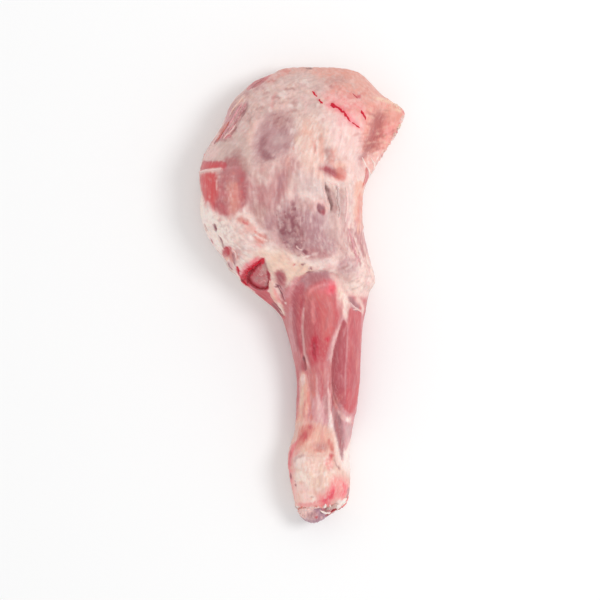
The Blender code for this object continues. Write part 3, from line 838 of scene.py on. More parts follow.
LEFT_PAINT = (
    patch("beige left flank", GREY_BEIGE, .85, 8, 238, 136, 208, 142, 190, 160, 226, 163, 246, 166, 252, 150,
        ragged=2),
    patch("pale corner", PALE_PINK, .75, 6, 214, 145, 204, 152, 200, 160, 212, 160, 220, 150),
    patch("brown-rose over the bare muscle", BROWN_ROSE, .8, 7, 224, 162, 234, 154, 246, 158, 252, 176, 240,
        173, 226, 171, ragged=2),
    spot("its dark spot", DARK_MAUVE, .4, 4, 235, 156, 4, 3),
    patch("rosy dusk over the strip", DUSKY_MUSCLE, .6, 6, 224, 160, 236, 158, 242, 168, 240, 174, 224, 174,
        ragged=2),
    spot("brown over the dusk", BROWN_ROSE, .6, 5, 237, 152, 4.5, 4),
    patch("torn strips", DUSTY_ROSE, .75, 4, *TORN_STRIPS),
    patch("pale strips", PALE_PINK, .8, 3, *TORN_STRIPS, ragged=1, grain=STRANDS),
    spot("peach top of the strips", PEACH, .8, 4, 241, 99, 6, 4, -40),
    stroke("mauve outer strip", LILAC, .8, 2.6, 2.6, 232, 106, 229, 114, 225, 125),
    stroke("dark seam", DARK_MAUVE, .8, 1.8, .7, 248, 100, 246, 108, 243, 114, 240, 120),
    stroke("lower dark seam", PLUM, .75, 1.6, 1.1, 241, 119, 237, 126, 233, 132, 230, 137),
    stroke("brown outline", BROWN_ROSE, .75, 1.6, .5, 227, 113, 233, 103, 240, 96, 249, 89),
    stroke("red seam", ROSE_SALMON, .85, 3, 1.6, 214, 144, 218, 138, 223, 130, 230, 122),
    spot("bright part of it", HOT_PINK, .45, 2, 221, 136, 3, 1.8, -50),
    stroke("dark end of it", PLUM, .8, 1.3, 1, 213, 145, 216, 141, 219, 137),
    stroke("white strand", FAT_WHITE, .85, 1.3, 1, 225, 138, 230, 131, 236, 125),
    stroke("white fringe", FAT_WHITE, .7, 1.3, .8, 223, 134, 227, 128, 232, 122),
    stroke("red fringe", ROSE_MUSCLE, .8, 1.4, 1.3, 224, 138, 228, 136, 232, 137),
    stroke("shade under the fringe", BROWN_ROSE, .8, 1.8, 1.2, 223, 141, 229, 140, 234, 138),
    stroke("its rosy foot", DUSTY_ROSE, .75, 5, 3.2, 250, 90, 260, 87, 270, 84),
    stroke("dark rim of it", PLUM, .4, 2, 1, 250, 87, 256, 80, 264, 76),
    stroke("pale line in it", FASCIA, .45, 1.2, .7, 254, 86, 260, 82, 267, 78),
    stroke("salmon beyond it", ROSE_SALMON, .7, 3.5, 3, 264, 83, 272, 79, 282, 73, 292, 70),
    patch("pale flank under the bare muscle", FAT_WHITE, .55, 7, 184, 198, 204, 204, 216, 218, 222, 244, 200,
        250, 186, 222),
    patch("bare muscle", PINK_MUSCLE, .92, 8, *BARE, ragged=1.4),
    patch("bright left part", BRIGHT_MUSCLE, .92, 6, 200, 176, 214, 174, 217, 188, 216, 203, 211, 208, 204,
        199, 200, 188, ragged=1.2),
    spot("brightest part", BRIGHT_MUSCLE, .7, 7, 207, 184, 5, 7),
    patch("mauve upper part", DUSTY_ROSE, .85, 8, 218, 172, 238, 170, 246, 176, 241, 186, 221, 190, ragged=2),
    patch("dusky right edge", DUSKY_MUSCLE, .75, 9, 240, 174, 247, 178, 247, 198, 242, 206, 238, 196,
        ragged=2),
    spot("darkest part", DEEP_MUSCLE, .45, 7, 243, 197, 3, 5.5),
    patch("dusky lower part", DUSKY_MUSCLE, .6, 9, 214, 202, 226, 197, 232, 206, 228, 216, 216, 216,
        ragged=2),
    patch("salmon middle", SALMON, .8, 9, 229, 184, 238, 186, 239, 204, 235, 215, 228, 213, ragged=2.5),
    patch("film over it", PALE_PINK, .3, 5, *BARE, ragged=2, grain=MOTTLES),
    patch("rosy mottles", ROSE_MUSCLE, .18, 5, *BARE, ragged=2, grain=BLOTCHES),
    patch("film over its foot", PALE_PINK, .25, 7, 208, 196, 222, 206, 246, 206, 244, 220, 212, 220, ragged=2,
        grain=BLOTCHES),
    patch("red left side", BRIGHT_MUSCLE, .55, 5, 201, 176, 213, 175, 215, 190, 213, 204, 206, 199, ragged=2),
    patch("red foot", ROSE_MUSCLE, .45, 5, 214, 202, 226, 206, 227, 214, 217, 216, 212, 209, ragged=2),
    patch("red strip", ROSE_MUSCLE, .92, 3, *RED_STRIP, ragged=1.2),
    spot("bright end of the strip", BRIGHT_MUSCLE, .6, 3, 210, 165.5, 12, 2.6),
    stroke("cream line", PALE_PINK, .95, 2, 1.5, *BARE_EDGE, taper=.12, ragged=.5),
    stroke("faint end of it", FASCIA, .55, 2.4, 1.2, 222, 168.5, 231, 167.5, 241, 167),
    stroke("salmon in it", SALMON, .6, 1.6, .9, 198, 172, 206, 170, 214, 169),
    spot("fat glint", FAT_WHITE, .6, 2, 218, 176.5, 1.6, 1.2),
    stroke("pale thread", PALE_PINK, .75, 1.3, .8, 216, 179, 216, 186, 216, 192),
    stroke("lower pale thread", PALE_PINK, .7, 1.3, .8, 231, 193, 229, 198, 228, 202),
    spot("rosy fleck", ROSE_SALMON, .55, 3, 235, 185, 3.2, 1.2),
    stroke("cream gap", FAT_WHITE, .75, 3.6, 2.4, 206, 200, 209, 207, 212, 217),
    # painted light on the left rim of the fat, which turns away from the lamp
    stroke("bright edge of the fat", BRIGHT_FAT, .75, 2.6, 1.6, 199, 190, 201, 198, 204, 206),
    stroke("bright fat beside the nicks", FAT_WHITE, .7, 4, 2.6, 218, 222, 222, 232, 228, 243),
    # painted light on the upper fat
    spot("white upper fat with painted light", BRIGHT_FAT, .7, 4, 199, 206, 4, 6, 20),
    # painted light over the left fat
    patch("bright left fat", BRIGHT_FAT, .8, 8, 198, 210, 222, 216, 232, 228, 232, 248, 220, 252, 204, 236,
        ragged=2.5),
    stroke("bright rim above the red strip", PALE_PINK, .75, 3, 1.8, 220, 131, 215, 139, 211, 147),
)
PURPLE_PAINT = (
    patch("muscle under the film", MAUVE, .82, 16, *PURPLE, ragged=3.5),
    patch("its dark heart", DARK_MAUVE, .75, 12, *PURPLE_HEART, ragged=3.5),
    spot("rosy middle", DUSTY_ROSE, .55, 9, 303, 234, 8, 9, ragged=2),
    spot("even right part", MAUVE, .7, 10, 312, 230, 8, 12, ragged=2),
    patch("dark mottles", PLUM, .6, 12, *PURPLE_HEART, ragged=2.5, grain=MOTTLES),
    patch("outer mottles", DUSTY_ROSE, .6, 14, 266, 208, 284, 202, 286, 250, 274, 246, 266, 230, ragged=3,
        grain=BLOTCHES),
    patch("light flecks", PALE_PINK, .55, 8, *PURPLE_HEART, ragged=2.5, grain=SPECKS),
    patch("veil", GREY_PINK, .6, 10, 280, 196, 314, 200, 326, 222, 344, 236, 336, 256, 310, 250, 290, 236,
        ragged=3, grain=STRANDS),
    patch("fine pale lines", PALE_PINK, .5, 6, 294, 194, 316, 196, 318, 224, 300, 226, grain=FINE_STRANDS),
    patch("grey right edge", BROWN_ROSE, .5, 8, 330, 214, 342, 220, 350, 244, 344, 256, 334, 240, ragged=2),
    patch("brown-rose left edge", BROWN_ROSE, .8, 8, 252, 204, 262, 204, 268, 216, 272, 238, 264, 240, 257,
        226, ragged=2.5),
    spot("mauve by the heart", MAUVE, .7, 7, 268, 224, 5, 9, ragged=2),
    spot("mauve below the violet spot", MAUVE, .8, 6, 320, 218, 6.5, 7),
    spot("mauve above it", BROWN_ROSE, .45, 7, 306, 205, 8, 6),
    spot("brown right of it", BROWN_ROSE, .6, 5, 332, 235, 4, 5),
    spot("deep middle", DARK_MAUVE, .5, 7, 299, 232, 6.5, 7),
    spot("light left of it", GREY_PINK, .55, 4, 290, 243, 4, 5, -20),
    spot("rose foot", MAUVE, .75, 5, 314, 252, 8, 5),
    spot("mauve under the foot", DUSTY_ROSE, .7, 4, 309, 260, 6, 3),
    stroke("pale lower left", PALE_PINK, .5, 5, 2.4, 274, 226, 277, 238, 284, 247, 292, 250),
    stroke("pale right of the slit", CREAM, .65, 4, 2.4, 339, 212, 339, 222, 340, 230),
    patch("light right of the heart", GREY_PINK, .35, 7, 320, 212, 332, 222, 338, 236, 326, 234, ragged=2),
    patch("rosy foot", DUSTY_ROSE, .65, 6, 306, 249, 324, 250, 328, 258, 314, 262, ragged=2),
    spot("first dark spot", PLUM, .75, 1.8, 292, 203.5, 1.5, 2),
    spot("second dark spot", PLUM, .75, 1.8, 293.5, 209, 2, 1.7),
    spot("third dark spot", PLUM, .75, 2.4, 288, 217, 2.4, 2.8),
    spot("fourth dark spot", PLUM, .6, 3, 283, 232, 3, 2.6),
    spot("fifth dark spot", PLUM, .55, 3.5, 292, 224, 3, 3.6),
    stroke("knot", PLUM, .85, 1.6, 1.5, 302, 250, 305, 252, 308, 255),
    spot("small knot", PLUM, .75, 1.5, 298, 255.5, 1.4, 1.2),
    spot("left knot", PLUM, .7, 2, 285, 243, 2.4, 1.4),
    stroke("white thread at the knot", FAT_WHITE, .85, 1.4, 1, 300, 254, 304, 257, 310, 256),
    stroke("white crook", FAT_WHITE, .75, 1.3, .8, 296, 246, 299, 249, 303, 250),
)
FAT_PAINT = (
    patch("white fat", FAT_WHITE, .85, 12, 196, 214, 236, 218, 262, 228, 276, 244, 292, 256, 286, 276, 262,
        262, 240, 266, 218, 258, 200, 240, ragged=3.5, grain=BLOTCHES),
    patch("grey in the fat", GREY_PINK, .55, 10, 216, 220, 262, 222, 276, 262, 240, 262, ragged=3,
        grain=MOTTLES),
    patch("warm in the fat", PEACH, .4, 10, 216, 220, 262, 222, 276, 262, 240, 262, ragged=3, grain=CREASES),
    stroke("pink stroke", ROSE_SALMON, .7, 6, 3, 236, 218, 242, 220, 250, 224, ragged=2),
    spot("pink under the stroke", ROSE_SALMON, .45, 6, 250, 229, 7, 4),
    spot("pink round the lower strokes", ROSE_SALMON, .45, 5, 261, 239, 6, 6),
    stroke("red in it", ROSE_MUSCLE, .55, 1.6, .9, 241, 221, 245, 223, 249, 225),
    stroke("upper pink stroke", ROSE_SALMON, .7, 2, 1.3, 253, 230, 259, 234, 265, 238),
    stroke("lower pink stroke", ROSE_SALMON, .7, 2, 1.2, 253, 235, 259, 240, 266, 244),
    stroke("white between them", FAT_WHITE, .8, 1.2, .8, 252, 233, 259, 237, 267, 241),
    stroke("last pink stroke", BLUSH, .65, 1.5, .8, 257, 244, 260, 246, 263, 247),
    patch("cream over the knee", YELLOW_FAT, .6, 12, 256, 252, 280, 250, 300, 257, 314, 268, 302, 282, 286,
        286, 270, 276, 258, 264, ragged=3),
    patch("orange in it", ORANGE_FAT, .5, 8, 272, 256, 300, 258, 304, 274, 284, 278, ragged=3,
        grain=BLOTCHES),
    stroke("white band over the knee", FAT_WHITE, .6, 4, 2.4, 284, 256, 300, 260, 318, 262, 336, 258),
    spot("left dot", ROSE_MUSCLE, .75, 1.3, 294, 265, 1.1, 1),
    spot("middle dot", PLUM, .8, 1.4, 303.5, 264, 1.5, 1.2),
    spot("right dot", PLUM, .8, 1.4, 311, 268, 1.6, 1.2, 50),
    spot("dot on the arch", PLUM, .7, 1.8, 309, 272.5, 2.2, 1.5),
    patch("orange band on the right edge", ORANGE_FAT, .9, 3.6, 356, 183, 366, 184, 368, 205, 365, 226, 356,
        234, 355, 210, ragged=1.2),
    stroke("its rosy core", ROSE_SALMON, .5, 3.6, 2.4, 359, 192, 359.5, 203, 358, 218, 355, 226),
    stroke("cream edge", FAT_WHITE, .65, 2, 1.2, 364, 186, 364.5, 202, 364, 226),
    patch("pink right foot", FASCIA, .7, 7, 346, 224, 378, 222, 386, 264, 354, 264, ragged=2, grain=STRANDS),
    patch("white right foot", FAT_WHITE, .2, 6, 346, 240, 376, 234, 388, 268, 356, 268, ragged=2,
        grain=STRANDS),
    patch("rose in the right foot", DUSTY_ROSE, .65, 7, 340, 234, 358, 228, 366, 250, 362, 266, 342, 264,
        ragged=2, grain=STRANDS),
    patch("grey over the knee's corner", BROWN_ROSE, .4, 6, 336, 270, 344, 266, 354, 272, 352, 282, 342, 280,
        ragged=2),
    stroke("rose streak", DUSTY_ROSE, .75, 3.4, 3.2, 350, 226, 354, 237, 358, 249),
    stroke("second rose streak", DUSTY_ROSE, .55, 2.8, 2.4, 358, 230, 361, 242, 364, 260),
    stroke("white streak", FAT_WHITE, .65, 1.5, .9, 354, 234, 358, 246, 364, 264),
    stroke("dark edge of the foot", MAUVE, .8, 1.5, 1, 364, 228, 366, 240, 369, 254),
    patch("grey patch over the knee", MAUVE, .6, 8, 338, 262, 347, 257, 356, 259, 357, 269, 347, 275, 339,
        271, ragged=2.5),
    spot("dark in it", BROWN_ROSE, .55, 4, 345, 268, 4, 2.6),
    patch("creased lobe", GREY_BEIGE, .45, 8, 344, 274, 370, 266, 388, 280, 382, 296, 352, 290, ragged=2,
        grain=CREASES),
)
FLAP_PAINT = (
    patch("flap", FLAP_PINK, .92, 8, *FLAP, ragged=2),
    patch("flap strands", YELLOW_FAT, .4, 5, *FLAP, grain=FLAP_STRANDS),
    stroke("valley", FLAP_DEEP, .95, 10, 6.5, *FLAP_VALLEY, taper=.12, ragged=2),
    spot("grey top of the valley", BROWN_ROSE, .3, 8, 378, 114, 5.5, 8),
    spot("deep middle of the valley", FLAP_DEEP, .75, 7, 375, 134, 5, 7, 15),
    spot("red floor of the valley", ROSE_MUSCLE, .55, 6, 376.5, 137, 5, 6.5, 20),
    # mauve flesh at the end of the valley, with painted shadow beside the flap
    stroke("mauve end of the valley", DUSTY_ROSE, .75, 5, 3, 373, 147, 367, 153, 361, 158, 357, 160),
    spot("rose under the flap", DUSTY_ROSE, .4, 4, 361, 164, 3, 3),
    stroke("streaks in the valley", SALMON, .45, 6, 7, *FLAP_VALLEY, taper=.12, grain=FLAP_STRANDS),
    spot("rosy bulge", BLUSH, .55, 8, 391, 130, 7, 14, 15),
    spot("salmon of the bulge", SALMON, .6, 6, 394, 114, 8, 9, 20),
    stroke("deep core of the valley", FLAP_DEEP, .72, 6, 3.2, 380, 113, 378, 128, 374, 141, 366, 152),
    stroke("cream upper rim", YELLOW_FAT, .8, 2.6, 1.9, 371, 97, 381, 99, 392, 103, 402, 109),
    stroke("cream line at the tip", YELLOW_FAT, .75, 1.8, 1.1, 388, 107, 396, 109, 403, 113),
    spot("tip", ROSE_MUSCLE, .65, 2.2, 405, 112, 2.8, 2.4),
    stroke("cream right rim", FAT_WHITE, .75, 2.2, 1.5, *FLAP_RIM),
    patch("pink lobes", PALE_PINK, .6, 5, 367, 156, 380, 150, 391, 150, 387, 161, 376, 173, 366, 164),
    patch("white in the lobes", FAT_WHITE, .8, 4, 368, 154, 382, 152, 388, 156, 376, 170, 368, 164,
        grain=MOTTLES),
    stroke("red seam under the flap", ROSE_MUSCLE, .75, 1.8, 1.4, 366, 165, 367.5, 172, 367, 180, 364.5, 190),
    stroke("white strand beside it", FAT_WHITE, .8, 1.4, .9, 362, 158, 365, 165, 369, 171, 369, 178),
    spot("notch in the rim", BROWN_ROSE, .7, 1.6, 393, 146, 1.6, 1.2),
)
SHANK_PAINT = (
    patch("shank", PINK_MUSCLE, .95, 5, 282, 292, 300, 276, 334, 274, 348, 294, 380, 308, 384, 400, 364, 432,
        330, 436, 284, 434, 276, 372, 262, 320, ragged=1),
    patch("muscle under the knee", MAUVE, .8, 7, *KNEE_BAND),
    spot("rose of the arch", DUSKY_MUSCLE, .6, 5, 317, 280, 9, 5),
    patch("its dusky foot", DUSKY_MUSCLE, .65, 7, 294, 306, 297, 292, 301, 284, 304, 300, 299, 316),
    stroke("pale left foot of the arch", FASCIA, .7, 5, 2.4, 288, 302, 289, 292, 294, 282, 300, 276),
    patch("left belly", PINK_MUSCLE, .7, 5, 270, 298, 291, 300, 292, 330, 297, 352, 298, 374, 282, 362, 273,
        335, 268, 315),
    patch("second belly", DEEP_MUSCLE, .92, 5, *SECOND_BELLY),
    patch("main belly", ROSE_MUSCLE, .95, 6, *MAIN_BELLY),
    patch("its dusky left side", DUSKY_MUSCLE, .4, 7, 304, 296, 312, 292, 314, 320, 312, 345, 306, 340),
    patch("its light right side", ROSE_SALMON, .45, 9, 322, 296, 334, 300, 334, 326, 327, 345, 320, 330),
    spot("light top of the belly", ROSE_SALMON, .55, 8, 315, 294, 9, 7, -15),
    stroke("pale cap of the belly", BLUSH, .8, 3.4, 1.8, 306, 313, 306.5, 301, 309.5, 292.5, 317, 286.5, 326,
        284),
    spot("pink of the cap", FASCIA, .4, 9, 320, 288, 9, 5, -10),
    spot("its left end", HOT_PINK, .3, 6, 323, 291, 8, 2.6, -8),
    # painted highlight: the moist sheen down the main belly
    stroke("light stripe", BLUSH, .85, 3, 2, 313, 297, 313.5, 310, 314.5, 326),
    stroke("left light stripe", PINK_MUSCLE, .7, 3, 1.4, 308, 290, 307, 302, 305.5, 316),
    stroke("sheath of the left belly", FASCIA, .8, 2, 1.2, 292, 300, 291.5, 315, 292, 328, 294, 342, 298,
        358),
    stroke("outer sheath", FASCIA, .8, 2.4, 1.5, 290, 300, 290, 318, 291, 335, 294, 352, 296, 374, 296, 402),
    stroke("belly sheath", PALE_PINK, .82, 2, 1.4, *BELLY_SHEATH, ragged=.5),
    patch("left of the tendon", PINK_MUSCLE, .8, 4, 296, 352, 303, 357, 303, 372, 299, 385, 299, 405, 297,
        422, 282, 424, 282, 380),
    stroke("dark slit", PLUM, .95, 1.6, 1.7, 303.5, 355, 304.5, 364, 306, 372, ragged=.5),
    spot("purple spot", PLUM, .7, 2, 300, 387, 1.2, 2.4),
    spot("red dot beside the tendon", BLOOD, .55, 1.8, 299.5, 386.5, 1.6, 1.8),
    patch("blood in the belly", BLOOD, .75, 5.5, 312, 339, 317, 337, 318, 348, 316, 360, 312.5, 353),
    spot("its dark core", DARK_BLOOD, .75, 3, 315, 346, 1.7, 8),
    spot("second blood spot", BLOOD, .55, 2.8, 327, 338.5, 2, 2.2),
    patch("pale shoulder of the arch", CREAM, .8, 5, 330, 274, 340, 278, 348, 290, 352, 306, 344, 300, 336,
        286),
    patch("cream sheath", CREAM, .92, 6, 336, 284, 343, 290, 350, 304, 350, 318, 343, 323, 340, 312, 336,
        298),
    # painted light on the white of the sheath
    stroke("white of the sheath with painted light", BRIGHT_FAT, .85, 4, 3.2, 341, 292, 345, 303, 345, 314),
    stroke("yellow in the sheath", YELLOW_FAT, .45, 4, 1.8, 337, 286, 341, 296, 342, 306),
    spot("pink foot of it", FASCIA, .35, 5, 340, 308, 3, 8),
    spot("hot spot", HOT_PINK, .92, 8, 331, 288.5, 4, 5.4, 10, ragged=1),
    spot("dot in the hot spot", BLOOD, .6, 3, 331, 290, 1.6, 1.8),
    patch("pink sheath", FASCIA, .85, 5, 342, 314, 347, 321, 340, 334, 336, 350, 332, 365, 332, 386, 327, 390,
        325, 368, 328, 350, 333, 335),
    stroke("pale line down it", PALE_PINK, .85, 3, 2, 345, 318, 339, 330, 334, 342, 332, 356, 330, 376),
    patch("right muscle", DEEP_MUSCLE, .95, 2.6, *RIGHT_MUSCLE, ragged=.7),
    patch("outer muscle", ROSE_MUSCLE, .8, 3, *OUTER_MUSCLE, ragged=.8),
    patch("film on the outer muscle", PINK_MUSCLE, .22, 6, *OUTER_MUSCLE, ragged=1),
    stroke("dusky middle of it", DEEP_MUSCLE, .5, 6, 3.4, 352, 330, 353, 360, 352, 396),
    patch("red foot of both", ROSE_MUSCLE, .25, 6, 338, 392, 356, 390, 356, 411, 345, 412),
    stroke("seam", FASCIA, .8, 1.5, .9, *MUSCLE_SEAM, ragged=.4),
    stroke("right edge", FASCIA, .85, 2, 1.3, 360, 300, 362, 315, 361.5, 340, 361, 380, 358, 402, 353, 426,
        ragged=.5),
    patch("mauve corner", MAUVE, .85, 3, 348, 297, 353, 298, 358, 306, 357, 311, 352, 308),
    stroke("upper white strand", PALE_PINK, .8, 1.2, .6, 349, 302, 354, 307, 361, 311, ragged=.3),
    stroke("lower white strand", PALE_PINK, .8, 1.2, .6, 352, 310, 357, 309, 363, 313, ragged=.3),
    stroke("rim of the cover", CREAM, .85, 3, 2.2, 354, 290, 358, 297, 361.5, 305, 362.5, 315),
    spot("pale side of the lobe", PALE_PINK, .6, 5, 364, 294, 5, 5),
    spot("rose lobe", PINK_MUSCLE, .85, 4, 369, 308, 4.5, 10),
    stroke("V of film", FASCIA, .8, 3.2, 1.9, *V_END, ragged=.8),
    patch("film under the muscles", LILAC, .85, 4, 336, 400, 341, 408, 348, 414, 355, 416, 357, 408, 358, 420,
        350, 424, 341, 417),
    stroke("end of the V", PALE_PINK, .85, 3, 2.6, 337, 409, 341, 415, 347, 420, 353, 423),
    spot("white of the end", FAT_WHITE, .85, 2.6, 347.5, 420, 3.8, 2.4, -38),
    patch("film along the muscles", FASCIA, .3, 6, 300, 276, 346, 290, 362, 330, 358, 410, 300, 400, 290, 330,
        ragged=1, grain=STRANDS),
)
EDGE_PAINT = (
    spot("red of the loop", ROSE_MUSCLE, .95, 2.4, 227.5, 252, 4.6, 6.5),
    spot("bright blood in it", BLOOD, .5, 2.4, 227, 250.5, 2.6, 3.5),
    spot("rose beside the loop", ROSE_SALMON, .8, 4, 233, 256, 5, 6.5, -15),
    spot("dusk beside the loop", DUSTY_ROSE, .5, 3.5, 238, 253, 3, 5, -15),
    stroke("dark in the rose", PLUM, .6, 2.4, 1.2, 232, 252, 234.5, 259, 235, 266),
    spot("salmon in it", ORANGE_FAT, .9, 1.8, 227, 259, 2.4, 1.8),
    spot("pink inside the loop", FASCIA, .85, 2, 230, 266, 2.6, 5, -25),
    stroke("right rim of the loop", PALE_PINK, .65, 1.8, 1, 231, 247, 235, 254, 237, 262, 236, 268),
    stroke("dark of the loop", DUSTY_ROSE, .7, 1.8, 1, 233.5, 251, 235, 257, 235, 263),
    stroke("left rim of the loop", ROSE_MUSCLE, .8, 1.5, .9, 223, 249, 223, 258, 227, 266, 232, 273),
    stroke("white in the loop", FAT_WHITE, .9, 1.3, .9, 225, 260, 228, 267, 232, 272),
    stroke("slit of the loop", PLUM, .85, 1.1, .7, 228, 263, 230, 267, 232, 271),
    patch("pink bleed in the fat", HOT_PINK, .62, 6, 238, 280, 241, 270, 248, 262, 258, 257, 264, 260, 256,
        268, 248, 280, ragged=2.5),
    patch("floor of the pocket", DUSTY_ROSE, .95, 2.5, *BLOOD_POCKET, ragged=1),
    patch("its mottles", PINK_MUSCLE, .7, 3, *BLOOD_POCKET, ragged=1, grain=MOTTLES),
    patch("red in it", ROSE_MUSCLE, .55, 3, *BLOOD_POCKET, ragged=1, grain=Grain(1.5, 2.6, 40, 0, .5)),
    patch("pale flecks in it", PALE_PINK, .55, 3, *BLOOD_POCKET, ragged=1, grain=SPECKS),
    spot("grey corner", BROWN_ROSE, .85, 3.5, 263.5, 267, 3.4, 6, -20),
    stroke("red side of the floor", ROSE_MUSCLE, .65, 3, 2.8, 249, 281, 254, 275, 258, 269, 262, 264),
    stroke("red foot of the floor", ROSE_MUSCLE, .6, 3, 2.2, 252, 283, 259, 285.5, 266, 284),
    spot("small blood drop", BLOOD, .95, 1.8, 238, 270.5, 1.7, 4, -12),
    patch("blood", BLOOD, .97, 2.4, 239, 283, 240, 277, 244, 271, 250, 266, 257, 262, 264, 258, 263.5, 263,
        258, 267, 254, 272, 251, 279, 249, 287, 243, 286, ragged=1.6),
    stroke("dark blood", DARK_BLOOD, .95, 2.4, 2, 247, 278, 250, 272, 256, 266, 262, 261, ragged=1.2),
    stroke("pink between the edges", HOT_PINK, .6, 1.4, .9, 252, 267, 256, 264.5, 260, 262),
    spot("clot", BLOOD, .8, 2.2, 244, 280, 3.4, 3.8),
    stroke("bleed beside the rim", BLOOD, .6, 2.6, 2.8, 248, 275, 250, 282, 256, 287.5, 263, 289, ragged=1),
    stroke("bleed at the right end", BLOOD, .6, 2, 2.4, 261, 289, 266, 289, 269.5, 285),
    stroke("dark rim of the pocket", DARK_BLOOD, .95, 1.8, 1.5, *POCKET_RIM, taper=.15, ragged=.8),
    spot("blood on the wedge", BLOOD, .8, 2.2, 246, 285, 2.6, 2),
    patch("wedge", BRIGHT_MUSCLE, .95, 2.5, *WEDGE, ragged=.8),
    patch("red of the wedge", BLOOD, .34, 2.5, *WEDGE, ragged=.8),
    patch("deep top of the wedge", DARK_BLOOD, .3, 4, 243, 284, 256, 290, 268, 292, 272, 298, 262, 300, 252,
        294, ragged=.8),
    patch("film on the wedge", PINK_MUSCLE, .1, 2.5, *WEDGE, ragged=.8, grain=STRANDS),
    spot("red end of the wedge", ROSE_MUSCLE, .55, 2.5, 272.5, 306, 2.6, 6.5, -42),
    stroke("dark edge of the wedge", PLUM, .8, 1.5, 1.2, 271, 302, 277, 309, 284, 317),
    patch("cream strip", PEACH, .97, 2.2, *CREAM_STRIP, ragged=.8),
    stroke("pink of the strip", BLUSH, .6, 2, 1.6, 273, 287, 277, 296, 281, 304),
    # painted light at the end of the strip of fat
    stroke("bright end of the strip of fat", BRIGHT_FAT, .6, 1.8, 1.3, 278, 301, 281, 308, 284, 314),
    stroke("orange in the strip", ORANGE_FAT, .7, 1.6, 1, 271, 292, 276, 302, 282, 312),
    patch("fold", DUSTY_ROSE, .75, 5, *FOLD, ragged=2),
    patch("its dark top", DEEP_MUSCLE, .65, 5, 276, 273, 284, 274, 285, 284, 279, 286),
    spot("plum in it", PLUM, .5, 4, 280.5, 278, 2.4, 4.4, -15),
    stroke("pink flap in the fold", FASCIA, .6, 2, 1.7, 281, 285, 284, 293, 286, 301),
    stroke("pale edge of the strip", PALE_PINK, .8, 1.6, 1, 275, 286, 279, 294, 283, 303),
    stroke("dark line of the fold", PLUM, .9, 1.4, .8, *FOLD_LINE, ragged=.6),
    spot("knot of the fold", PLUM, .75, 1.2, 277, 286.5, 1.8, .9),
    spot("white dot", FAT_WHITE, .7, 1.2, 285.5, 303, 1.1, 1),
)
LOWER_PAINT = (
    patch("front of the shank", LILAC, .85, 7, 309, 390, 329, 390, 332, 402, 332, 420, 328, 430, 318, 432,
        310, 426),
    stroke("salmon tendon", ROSE_SALMON, .85, 3.2, 2.6, 314, 364, 314, 385, 312, 402),
    stroke("pink tendon", FASCIA, .7, 2.4, 1.4, 318, 368, 318.5, 384, 320, 402),
    stroke("red tendon", ROSE_MUSCLE, .7, 2.4, 1.2, 322, 364, 323, 384, 322, 402),
    stroke("mauve seam", DUSTY_ROSE, .9, 2.8, 2.2, 325, 372, 325.5, 385, 326, 400, 326, 419),
    patch("red of the upper tendons", PINK_MUSCLE, .7, 6, 311, 366, 331, 362, 332, 390, 324, 396, 312, 388),
    stroke("pale thread of the tendons", PALE_PINK, .55, 1.6, .8, 316, 372, 317, 386, 317, 400),
    stroke("rose thread of the tendons", ROSE_MUSCLE, .55, 2, 1.1, 322, 372, 322, 390, 321, 404),
    stroke("light middle", PALE_PINK, .6, 3, 2.2, 319, 396, 319, 410, 321, 428),
    stroke("pale band", PALE_PINK, .85, 2.2, 1.6, 328.5, 384, 329, 395, 329.5, 408, 330, 422),
    stroke("dark seam by the band", DUSKY_MUSCLE, .9, 2.6, 2, 333, 380, 333.5, 396, 333, 408, 334, 422),
    patch("orange tendon", ORANGE_FAT, .95, 5, *TENDON),
    stroke("cream line on it", YELLOW_FAT, .75, 2.2, 1.2, 304, 378, 303, 395, 301, 412),
    spot("white top of it", FAT_WHITE, .8, 3, 303.5, 379, 2.4, 5),
    spot("red over it", DEEP_MUSCLE, .55, 4, 303, 367, 3, 5),
    stroke("left red seam", ROSE_MUSCLE, .6, 2.4, 1.5, 297, 366, 298, 392, 298, 410, 295, 426),
    stroke("right red seam", ROSE_SALMON, .9, 2, 1.3, 309.5, 384, 309, 398, 311, 412, 311, 426),
    stroke("brown seam on the tendon", ROSE_MUSCLE, .45, 1.6, .9, 306, 400, 304, 412, 306, 420),
    patch("white band", FAT_WHITE, .95, 4, *WHITE_BAND),
    patch("pale right side", FAT_WHITE, .8, 5, 345, 444, 366, 430, 366, 480, 346, 474),
    patch("purple wedge", MAUVE, .92, 3.4, 332, 406, 337, 410, 342, 420, 350, 426, 357, 425, 349, 436, 343.5,
        448, 342, 460, 338, 446, 334, 430),
    stroke("its dark edge", DUSKY_MUSCLE, .8, 2.4, 1.7, 335, 408, 337, 424, 340, 440, 342, 454),
    patch("its light side", LILAC, .8, 4, 343, 421, 352, 425, 358, 424, 351, 438, 345, 450, 343, 436),
    spot("grey in it", GREY_PINK, .55, 4, 348, 430, 2.6, 7, 12),
    patch("strands on the shank's foot", FAT_WHITE, .2, 8, 296, 380, 334, 380, 346, 440, 340, 452, 294, 440,
        ragged=2, grain=STRANDS),
)
